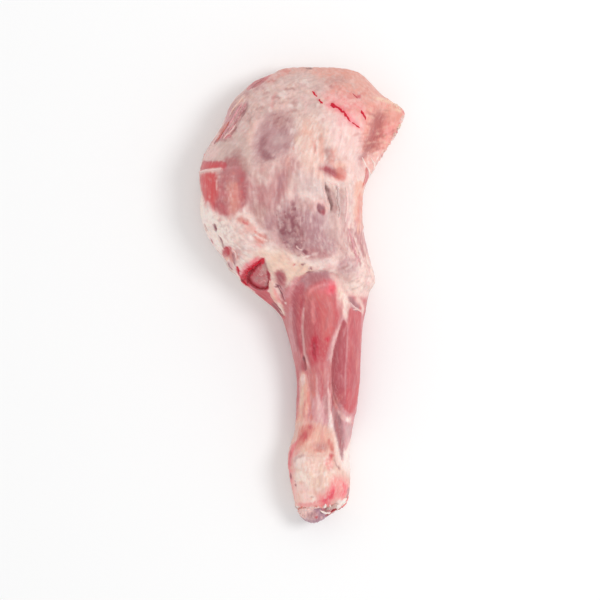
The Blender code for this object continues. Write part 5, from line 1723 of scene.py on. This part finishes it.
def with_modifiers(mesh: Mesh, modifiers: Sequence[tuple[str, dict]], group: Array | None = None) -> Mesh:
    """A mesh after modifiers.

    Args:
        mesh: The mesh.
        modifiers: Each modifier's type and settings.
        group: Which points are in the vertex group `share`, if one is used.

    Returns:
        The new mesh.
    """
    carrier = linked("carrier", mesh)
    if group is not None:
        share = carrier.vertex_groups.new(name="share")
        for weight in (0, 1):
            share.add(np.flatnonzero(group == weight).tolist(), weight, "REPLACE")
    for kind, settings in modifiers:
        modifier = carrier.modifiers.new(kind, kind)
        for name, value in settings.items():
            setattr(modifier, name, value)
    graph = bpy.context.evaluated_depsgraph_get()
    made = bpy.data.meshes.new_from_object(carrier.evaluated_get(graph))
    bpy.data.objects.remove(carrier)
    return made


def welded_copy(node: bpy.types.Object) -> Mesh:
    """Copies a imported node's mesh and joins its split points again.

    Args:
        node: The node.

    Returns:
        The copy.
    """
    bm = bmesh.new()
    bm.from_mesh(node.data)
    bmesh.ops.remove_doubles(bm, verts=bm.verts, dist=.02 * MM)
    mesh = bpy.data.meshes.new(node.name + "_welded")
    bm.to_mesh(mesh)
    bm.free()
    return mesh


def tree_of(*meshes: Mesh) -> BVHTree:
    """Makes a search tree over faces.

    Args:
        meshes: The meshes that have them.

    Returns:
        The tree.
    """
    points: list[Vector] = []
    faces: list[list[int]] = []
    for mesh in meshes:
        first = len(points)
        points += [v.co for v in mesh.vertices]
        faces += [[first + number for number in p.vertices] for p in mesh.polygons]
    return BVHTree.FromPolygons(points, faces)


def seat_share(points: Array, reach: float) -> Array:
    """Finds the points by the bone's seat, where the flesh has to stay off the bone.

    Args:
        points: Points in metres.
        reach: How near the bone they are, in metres.

    Returns:
        1 at such points, and 0 elsewhere.
    """
    bone = tree_of(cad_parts[BONE_NODE].data)
    low, high = (np.array(corner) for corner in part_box(BONE_NODE))
    near = np.flatnonzero(np.all((points > low - reach) & (points < high + reach), axis=1))
    share = np.zeros(len(points))
    for number in near:
        if bone.find_nearest(Vector(points[number]), reach)[0] is not None:
            share[number] = 1
    return share


def store_paint(mesh: Mesh, canvas: Canvas) -> None:
    """Writes the paint into a mesh for the shader.

    Args:
        mesh: The mesh.
        canvas: Its paint.
    """
    colours = np.hstack([linear_light(np.clip(canvas.colour, 0, 1)), np.ones((len(canvas.points), 1))])
    for name, kind, field, values in (("tint", "FLOAT_COLOR", "color", colours),
                                      ("comb", "FLOAT_VECTOR", "vector", canvas.comb),
                                      ("bare", "FLOAT", "value", np.clip(canvas.bare, 0, 1)),
                                      ("wet", "FLOAT", "value", np.clip(canvas.wet, 0, 1))):
        mesh.attributes.new(name, kind, "POINT").data.foreach_set(field, values.ravel())


@dataclass
class Skin:
    """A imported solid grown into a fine, smooth, painted mesh."""

    name: str
    node: str  # the solid that it replaces
    slot: str  # the record's material slot; not used
    base: Tint
    paint: Sequence[Union[Paint, Field]]  # in order
    relief: Sequence[Relief]
    voxel: float = .85 * MM  # size of its faces
    smoothing: int = 14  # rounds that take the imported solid's facets out
    kept_share: float = .2  # share of the faces that is kept where they aren't seen from above
    seed: int = 11

    SEAT_REACH = 1.0 * MM
    OPEN = .25  # how far up a place looks that is open to the sky
    FOLD_MM, WRINKLE_MM, FIBRE_MM = .45, .28, .14

    def build(self, finish: Material) -> Mesh:
        """Makes, paints and dresses the skin.

        Args:
            finish: Its material.

        Returns:
            The piece's mesh.
        """
        mesh = self.grown(welded_copy(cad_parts[self.node]))
        points, normals = read_points(mesh), read_normals(mesh)
        below = way_below(points, read_edges(mesh), normals[:, 2] > self.OPEN)
        canvas = Canvas(points, normals, below, self.base, self.seed)
        for touch in self.paint:
            touch.lay(canvas)
        self.raise_relief(mesh, canvas)
        store_paint(mesh, canvas)
        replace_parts(piece_of(self.name, mesh, finish), self.node)
        return mesh

    def grown(self, mesh: Mesh) -> Mesh:
        """Grows a fine smooth mesh, with fewer faces where it isn't seen from above.

        Args:
            mesh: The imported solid's mesh.

        Returns:
            The new mesh.
        """
        fine = with_modifiers(mesh, (("SUBSURF", {"levels": 1, "render_levels": 1}),
                                     ("REMESH", {"mode": "VOXEL", "voxel_size": self.voxel})))
        points = read_points(fine)
        free = 1 - self.held(points)
        points = relaxed(points, read_edges(fine), self.smoothing, free)
        points[:, 2] = np.maximum(points[:, 2], 0)
        write_points(fine, points)
        hidden = self.hidden(points, read_normals(fine)) | (free < .5)
        ratio = 1 - hidden.mean() * (1 - self.kept_share)
        thinned = with_modifiers(fine, (("DECIMATE", {"ratio": ratio, "vertex_group": "share"}),), hidden)
        surface = tree_of(fine)
        write_points(thinned, np.array([surface.find_nearest(v.co)[0] for v in thinned.vertices]))
        log.info("%s: thinned from %d faces to %d", self.name, 2 * len(fine.polygons), len(thinned.polygons))
        return thinned

    def held(self, points: Array) -> Array:
        """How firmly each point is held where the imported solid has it, from 0 to 1."""
        return seat_share(points, self.SEAT_REACH)

    def hidden(self, points: Array, normals: Array) -> Array:
        """Which points aren't seen from above."""
        return normals[:, 2] < -self.OPEN

    def raise_relief(self, mesh: Mesh, canvas: Canvas) -> None:
        """Moves the skin along its normals by the relief, the folds of its film and its fibres.

        Args:
            mesh: The skin.
            canvas: Its paint, which tells film from bare muscle.
        """
        for part in self.relief:
            part.press(canvas)
        film = 1 - canvas.bare
        canvas.height += self.FOLD_MM * FOLDS.noise(canvas, canvas.every) * (.2 + .8 * film)
        canvas.height += self.WRINKLE_MM * WRINKLES.noise(canvas, canvas.every) * film
        canvas.height += self.FIBRE_MM * FIBRES.noise(canvas, canvas.every) * (.4 + .6 * canvas.bare)
        canvas.height *= 1 - self.held(canvas.points)
        shift = np.maximum(canvas.height, -canvas.points[:, 2] / MM) * MM
        points = canvas.points + read_normals(mesh) * shift[:, None]
        points[:, 2] = np.maximum(points[:, 2], 0)
        write_points(mesh, points)


@dataclass
class JointEnd(Skin):
    """The shank bone, whose cartilage end shows at the knuckle."""

    shown_to: float = -.14  # how far up the leg, in metres, the end is seen

    def held(self, points: Array) -> Array:
        """The bone is held in its seat, and free at its end."""
        return ease(self.shown_to - 6 * MM, self.shown_to, points[:, 1])

    def hidden(self, points: Array, normals: Array) -> Array:
        """What lies in the flesh isn't seen."""
        return points[:, 1] > self.shown_to


@dataclass(frozen=True)
class Ribbon:
    """One strand that lies on the skin."""

    name: str  # what it shows
    tint: Tint
    width: float  # its half width in the middle, in pixels
    height: float  # how far it stands over the skin, in millimetres
    path: Path
    wander: float = .45  # how far its edges wander, as a share of its width


def strand(name: str, tint: Tint, width: float, height: float, *path: float, wander: float = .45) -> Ribbon:
    """A ribbon along a path, which is given as the X and Y of its pixels in turn."""
    return Ribbon(name, tint, width, height, path, wander)


@dataclass(frozen=True)
class Fringe:
    """Short shreds across a torn rim."""

    name: str  # what it shows
    count: int
    reach: float  # their length in pixels
    width: float  # half the width of a middling one, in pixels
    height: float  # how far they stand over the skin, in millimetres
    tints: tuple[Tint, ...]
    rim: Path

    LEAN, BEND = .6, .8  # how far the shreds lean and bend
    SHARES = (-.5, -.15, .2, .5)  # where a shred's knots lie along it
    WANDER = .6

    def ribbons(self) -> list[Ribbon]:
        """Draws the shreds.

        Returns:
            One ribbon for each.
        """
        draw = np.random.default_rng(self.count)
        rim = curve_through(self.rim, spacing=.5)
        ways = np.gradient(rim, axis=0)
        made = []
        for number in range(self.count):
            at = min(len(rim) - 1, int((number + draw.uniform(.1, .9)) / self.count * len(rim)))
            way = ways[at] / np.linalg.norm(ways[at])
            out = np.array([-way[1], way[0]]) + way * draw.normal(0, self.LEAN)
            reach = self.reach * draw.uniform(.5, 1.2)
            bend = way * draw.normal(0, self.BEND)
            path = [rim[at] + out * reach * share + bend * (1 - 4 * share * share) for share in self.SHARES]
            width = self.width * draw.uniform(.6, 1.4)
            height = self.height * draw.uniform(.6, 1.3)
            tint = self.tints[draw.integers(len(self.tints))]
            made.append(Ribbon(self.name, tint, width, height, np.array(path), self.WANDER))
        return made


STRAND_RIBBONS = (
    strand("grey strip at the end", GREY_BEIGE, 2, 1.3, 326, 509.5, 330, 507.5, 334, 505.5, 338, 503),
    strand("white under it", FAT_WHITE, 1.2, 1, 320, 510, 325, 513, 331, 512, 337, 509, 341, 505),
    strand("white left rim", PALE_PINK, 1.9, .7, 296, 507.5, 302, 509, 309, 509, 316, 507.5, 322, 507),
    strand("torn left rim", PALE_PINK, .8, .5, 295, 506, 298, 511, 302, 516, 306, 519, wander=.9),
    strand("torn right rim", ROSE_MUSCLE, 1.3, 1, 328, 518, 332, 515, 337, 512, 341, 508, 344, 505),
    strand("lobe at the end", FAT_WHITE, 2.6, 1.6, 335, 507, 339, 504, 343, 501, 346, 498),
    strand("pink edge of the lobe", BLUSH, 1.1, .8, 341, 507, 345, 504, 347, 500, 348, 495),
    strand("first strip", FASCIA, 1, .7, 246, 103, 243, 109, 238, 118, 231, 129, 226, 136),
    strand("second strip", LILAC, 1.2, .9, 242, 103, 237, 112, 232, 121, 226, 131, 220, 140),
    strand("outer strip", PEACH, 1.1, .7, 244, 97, 238, 103, 233, 110, 229, 117),
    strand("strip by the seam", DUSTY_ROSE, .8, .7, 245, 106, 241, 113, 237, 120, 233, 127),
    strand("red strip at the edge", ROSE_SALMON, .9, .5, 229, 121, 226, 128, 221, 135, 216, 142, wander=.9),
    strand("crossing strand", PALE_PINK, .7, .7, 236, 124, 232, 130, 227, 135, 223, 139),
    strand("second crossing strand", PALE_PINK, .6, .6, 232, 120, 228, 128, 224, 135),
    strand("red shred", FASCIA, .7, .4, 225, 139, 228, 137, 231, 137.5),
    strand("strip in the crescent", DUSTY_ROSE, 1, .5, 252, 88, 258, 82, 265, 78, wander=.8),
    strand("rim of the film by the muscle", PALE_PINK, 1.1, .6, 197.5, 172.5, 204, 171, 211, 170, 219, 169),
    strand("white lip of the pocket", PALE_PINK, .9, .4, 327, 181, 331, 183, 336, 184.5, 340, 187),
    strand("ridge right of the slit", GREY_PINK, 1.3, .8, 336, 184, 338, 191, 338, 199, 340, 209, 339, 218),
    strand("ridge left of the slit", PALE_PINK, .6, .3, 322, 184, 324, 191, 326, 199, 327.5, 206),
    strand("outer ridge", PALE_PINK, 1.1, .6, 346, 186, 347, 198, 347, 210, 345, 222),
    strand("strand under the flap", FAT_WHITE, .8, .7, 362, 157, 365, 164, 369, 171, 369, 179),
    strand("second one", FAT_WHITE, .8, .7, 371, 158, 374, 164, 373, 171, 371, 177),
    strand("third one", PALE_PINK, .8, .7, 380, 155, 379, 162, 375, 168, 372, 173),
    strand("red seam under the flap", ROSE_SALMON, .8, .4, 366, 167, 366, 173, 364.5, 180, 362.5, 188),
    strand("white streak at the foot", PALE_PINK, .9, .4, 353, 234, 357, 246, 362, 258, 367, 268),
    strand("pink streak at the foot", LILAC, 1.2, .5, 348, 228, 352, 240, 355, 252, 361, 264),
    strand("knot", PALE_PINK, .6, .5, 301, 254, 304, 256.5, 308, 256),
    strand("crook", PALE_PINK, .5, .4, 296, 246, 299, 249, 302, 250),
    strand("rim of the loop", PALE_PINK, .8, .5, 232, 248, 235, 253, 236.5, 259, wander=.8),
    strand("strand in the loop", FAT_WHITE, .9, .9, 225, 259, 228, 266, 232, 272),
    strand("flap in the fold", FASCIA, .8, .5, 279, 286, 283, 293, 285, 300),
    strand("upper strand at the knee", PALE_PINK, .4, .2, 350, 302, 354, 306.5, 358, 309),
    strand("lower strand at the knee", PALE_PINK, .4, .2, 353, 310, 357, 309.5, 361, 312),
    strand("white top of the tendon", PALE_PINK, .9, .3, 304, 374, 303.5, 379, 302.5, 386),
)
BLOOD_RIBBONS = (
    strand("first streak", BLOOD, 1.1, .2, 312, 91.5, 314.5, 94, 317, 97, wander=.9),
    strand("lower part of it", BLOOD, 1, .2, 319, 99.5, 321, 102, 322.5, 104, wander=.9),
    strand("second streak", BLOOD, 1.15, .25, 330, 105, 334, 106, 338, 108, 342, 110.5, 345, 114, 348, 118,
        351, 121.5, wander=.95),
    strand("tail of it", BLOOD, .6, .2, 352, 122.5, 355, 124.5, 360, 128, wander=.9),
    strand("third streak", ROSE_MUSCLE, .8, .2, 352.5, 93, 355, 96, 358, 98.5, wander=.9),
    strand("blot of the second streak", BLOOD, 1.7, .3, 330, 104.5, 333, 105.5, 336, 107, wander=.9),
    strand("fourth streak", BLOOD, 1.1, .28, 361, 110, 363, 114, 365, 117, 366, 120, wander=.9),
    strand("edge of the pocket", BLOOD, 1.2, .6, 242, 282, 244, 277, 248, 271, 254, 266, 262, 260,
        wander=.95),
    strand("flow in the pocket", DARK_BLOOD, 1.2, .5, 247, 284, 248.5, 278, 251, 273, 255, 268, 259, 264,
        wander=.95),
    strand("flow under the pocket", DARK_BLOOD, .9, .5, 247, 277, 251, 283, 257, 287.5, 264, 289, 268, 286,
        268.5, 280, wander=.8),
    strand("clot on the wedge", BLOOD, 1.7, .6, 241, 281, 244, 283, 248, 285, wander=.9),
    strand("blood by the loop", BLOOD, 1, .5, 237, 266, 238, 270, 239, 275, wander=.5),
    strand("blood in the loop", ROSE_MUSCLE, 2.2, .4, 226, 247, 227.5, 251, 228, 255, wander=.4),
)
FRINGES = (
    Fringe("torn rim of the flap", 17, 3.4, 1.1, .4, (YELLOW_FAT, PALE_PINK, BLUSH, PEACH), (404, 115, 400,
        127, 394, 140, 389, 150, 385, 160, 378, 169)),
    Fringe("upper rim of the flap", 5, 2.2, .7, .3, (YELLOW_FAT, ORANGE_FAT), (380, 99, 388, 102, 396, 106,
        403, 110)),
    Fringe("torn corner on the left", 8, 3, .8, .5, (BLUSH, PALE_PINK, ROSE_SALMON), (214, 144, 207, 150, 202,
        157, 199, 163)),
    Fringe("torn end", 15, 3.6, .9, .6, (PALE_PINK, BLUSH, ROSE_SALMON, FAT_WHITE), (296, 507, 305, 509, 316,
        507, 326, 506, 336, 506, 345, 502)),
    Fringe("ragged edge of the pocket", 9, 3.4, .9, .5, (BLOOD, DARK_BLOOD), (241, 283, 247, 275, 255, 267,
        263, 260)),
)


@dataclass
class Drapery:
    """Strands that lie on the finished skins, in one piece."""

    name: str
    slot: str  # the record's material slot; not used
    ribbons: Sequence[Ribbon]
    sides: int = 10  # points round a strand
    step: float = .5  # distance between its rings, in pixels
    sunk: float = .5  # how deep its lower half lies under the skin, in millimetres
    seed: int = 5

    WOBBLE_PX, LUMP_PX = 4, 2.5  # length of a strand's wobbles and of its lumps
    WOBBLE = .8  # how far it wobbles, as a share of its wander
    NEXT_STRAND, NEXT_AXIS, NEXT_LUMPS = 3.3, 9.1, 7.7  # steps through the noise that keep them apart
    ROUND = .8  # size of a ring in the noise
    TIPS = (5, .02)  # how fast the ends swell, and how blunt they are

    def build(self, ground: BVHTree, finish: Material) -> None:
        """Makes and dresses the strands.

        Args:
            ground: The skins that they lie on.
            finish: Their material.
        """
        noise = GradientNoise(self.seed)
        blocks = [self.rings(ribbon, ground, noise, number) for number, ribbon in enumerate(self.ribbons)]
        faces: list[tuple[int, ...]] = []
        first = 0
        for block in blocks:
            last = first + len(block) - self.sides
            for ring, side in itertools.product(range(first, last, self.sides), range(self.sides)):
                other = (side + 1) % self.sides
                faces.append((ring + side, ring + other, ring + self.sides + other, ring + self.sides + side))
            faces += [tuple(range(first, first + self.sides))[::-1], tuple(range(last, last + self.sides))]
            first = last + self.sides
        mesh = bpy.data.meshes.new(self.name)
        mesh.from_pydata(np.vstack(blocks).tolist(), [], faces)
        mesh.update()
        points = read_points(mesh)
        canvas = Canvas(points, read_normals(mesh), np.zeros(len(points)), CREAM, self.seed)
        owner = np.repeat(np.arange(len(blocks)), [len(block) for block in blocks])
        for number, ribbon in enumerate(self.ribbons):
            canvas.mix(np.flatnonzero(owner == number), 1, ribbon.tint)
        store_paint(mesh, canvas)
        piece_of(self.name, mesh, finish)

    def rings(self, ribbon: Ribbon, ground: BVHTree, noise: GradientNoise, number: int) -> Array:
        """The rings of points round one strand.

        Args:
            ribbon: The strand.
            ground: The skins that it lies on.
            noise: Noise that makes it uneven.
            number: The strand's number, which moves the noise.

        Returns:
            Points, ring by ring.
        """
        path = curve_through(ribbon.path, spacing=self.step)
        along = np.arange(len(path)) * self.step
        for axis in range(2):
            spots = np.stack([along / self.WOBBLE_PX, np.full_like(along, number * self.NEXT_STRAND),
                              np.full_like(along, axis * self.NEXT_AXIS)], axis=1)
            path[:, axis] += self.WOBBLE * ribbon.width * ribbon.wander * noise.layered(spots)
        places, normals = lying_on(ground, path)
        across = units(np.cross(normals, units(np.gradient(places, axis=0))))
        share = np.linspace(0, 1, len(path))
        taper = np.sqrt(np.clip(np.minimum(share, 1 - share) * self.TIPS[0] + self.TIPS[1], 0, 1))
        rings = []
        for turn in 2 * math.pi * np.arange(self.sides) / self.sides:
            side, top = math.cos(turn), math.sin(turn)
            spots = np.stack([along / self.LUMP_PX,
                              np.full_like(along, side) * self.ROUND + number * self.NEXT_LUMPS,
                              np.full_like(along, top) * self.ROUND], axis=1)
            uneven = taper * (1 + ribbon.wander * noise.layered(spots, octaves=2))
            wide = ribbon.width * PLAN.pixel_m * side * uneven
            high = (ribbon.height if top > 0 else self.sunk) * MM * top * uneven
            rings.append(places + across * wide[:, None] + normals * high[:, None])
        return np.stack(rings, axis=1).reshape(-1, 3)


def lying_on(ground: BVHTree, path: Array, rounds: int = 4) -> tuple[Array, Array]:
    """Where the pixels of a path lie on the skins.

    Args:
        ground: The skins.
        path: Points in pixels.
        rounds: How often the directions are evened out along the path.

    Returns:
        The places and the skins' directions there, one row each.
    """
    eye = Vector((*PLAN.middle_m, PLAN.eye_m))
    places, normals = [], []
    for pixel in path:
        foot = PLAN.place(pixel)
        place, normal, _, _ = ground.ray_cast(eye, (foot - eye).normalized())
        if place is None:
            place, normal, _, _ = ground.find_nearest(foot)
        places.append(place)
        normals.append(normal if normal.z > 0 else -normal)
    smooth = np.array(normals)
    for _ in range(rounds):
        smooth[1:-1] = (smooth[:-2] + smooth[1:-1] + smooth[2:]) / 3
    return np.array(places), units(smooth)


@dataclass(frozen=True)
class Studio:
    """The floor, the soft light and the camera."""

    floor_m: float = 6.0  # width of the floor
    floor_white: float = .95
    floor_roughness: float = .9
    floor_gap: float = .2 * MM  # how far the floor lies under the leg
    key_place: tuple[float, float, float] = (.97, .18, 1.52)  # where the large lamp hangs
    key_size: float = .7
    key_power: float = 10.2
    fill: float = .81  # brightness of the white surroundings
    frame_px: float = 600.0  # width of the picture
    sensor_mm: float = 36.0

    def build(self) -> None:
        """Sets the studio up."""
        self.lay_floor()
        self.hang_lamp()
        self.fill_light()
        self.place_camera()

    def lay_floor(self) -> None:
        """Lays a plain white floor under the leg."""
        bm = bmesh.new()
        bmesh.ops.create_grid(bm, x_segments=1, y_segments=1, size=self.floor_m / 2)
        mesh = bpy.data.meshes.new("floor")
        bm.to_mesh(mesh)
        bm.free()
        white = (*(self.floor_white,) * 3, 1)
        mesh.materials.append(Graph("floor_finish").finish(
            {"Base Color": white, "Roughness": self.floor_roughness, "Specular IOR Level": 0}))
        floor = linked("floor", mesh)
        floor.location.z = -self.floor_gap

    def hang_lamp(self) -> None:
        """Hangs the key lamp and points it at the leg."""
        light = bpy.data.lights.new("key", "AREA")
        light.shape = "DISK"
        light.size = self.key_size
        light.energy = self.key_power
        lamp = linked("key", light)
        lamp.location = self.key_place
        lamp.rotation_euler = Vector(self.key_place).to_track_quat("Z", "Y").to_euler()

    def fill_light(self) -> None:
        """Surrounds the leg with white."""
        world = bpy.data.worlds.new("surroundings")
        world.use_nodes = True
        shade = world.node_tree.nodes["Background"]
        shade.inputs["Color"].default_value = (1, 1, 1, 1)
        shade.inputs["Strength"].default_value = self.fill
        bpy.context.scene.world = world
        bpy.context.scene.view_settings.view_transform = "Standard"
        bpy.context.scene.view_settings.look = "None"

    def place_camera(self) -> None:
        """Puts the camera straight above, with the frame of the picture."""
        lens = bpy.data.cameras.new("camera")
        lens.sensor_width = self.sensor_mm
        lens.lens = self.sensor_mm * (PLAN.eye_m - PLAN.level_m) / (self.frame_px * PLAN.pixel_m)
        camera = linked("camera", lens)
        camera.location = (*PLAN.middle_m, PLAN.eye_m)
        bpy.context.scene.camera = camera


def main() -> None:
    """Builds the leg and its studio."""
    logging.basicConfig(level=logging.INFO, format="%(name)s: %(message)s")
    flesh = FleshFinish().material()
    ground = tree_of(
        Skin("leg_skin", FLESH_NODE, "flesh", CREAM, PAINT, RELIEF).build(flesh),
        JointEnd("joint_end", BONE_NODE, "bone", VIOLET_GREY, BONE_PAINT, BONE_RELIEF, voxel=.7 * MM,
                 kept_share=.3, seed=23).build(flesh),
    )
    shreds = [ribbon for fringe in FRINGES for ribbon in fringe.ribbons()]
    Drapery("strands", "flesh", STRAND_RIBBONS).build(ground, flesh)
    Drapery("shreds", "flesh", shreds, seed=8).build(ground, flesh)
    Drapery("blood", "flesh", BLOOD_RIBBONS, sunk=.3, seed=9).build(ground, BloodFinish().material())
    Studio().build()


if __name__ == "__main__":
    main()
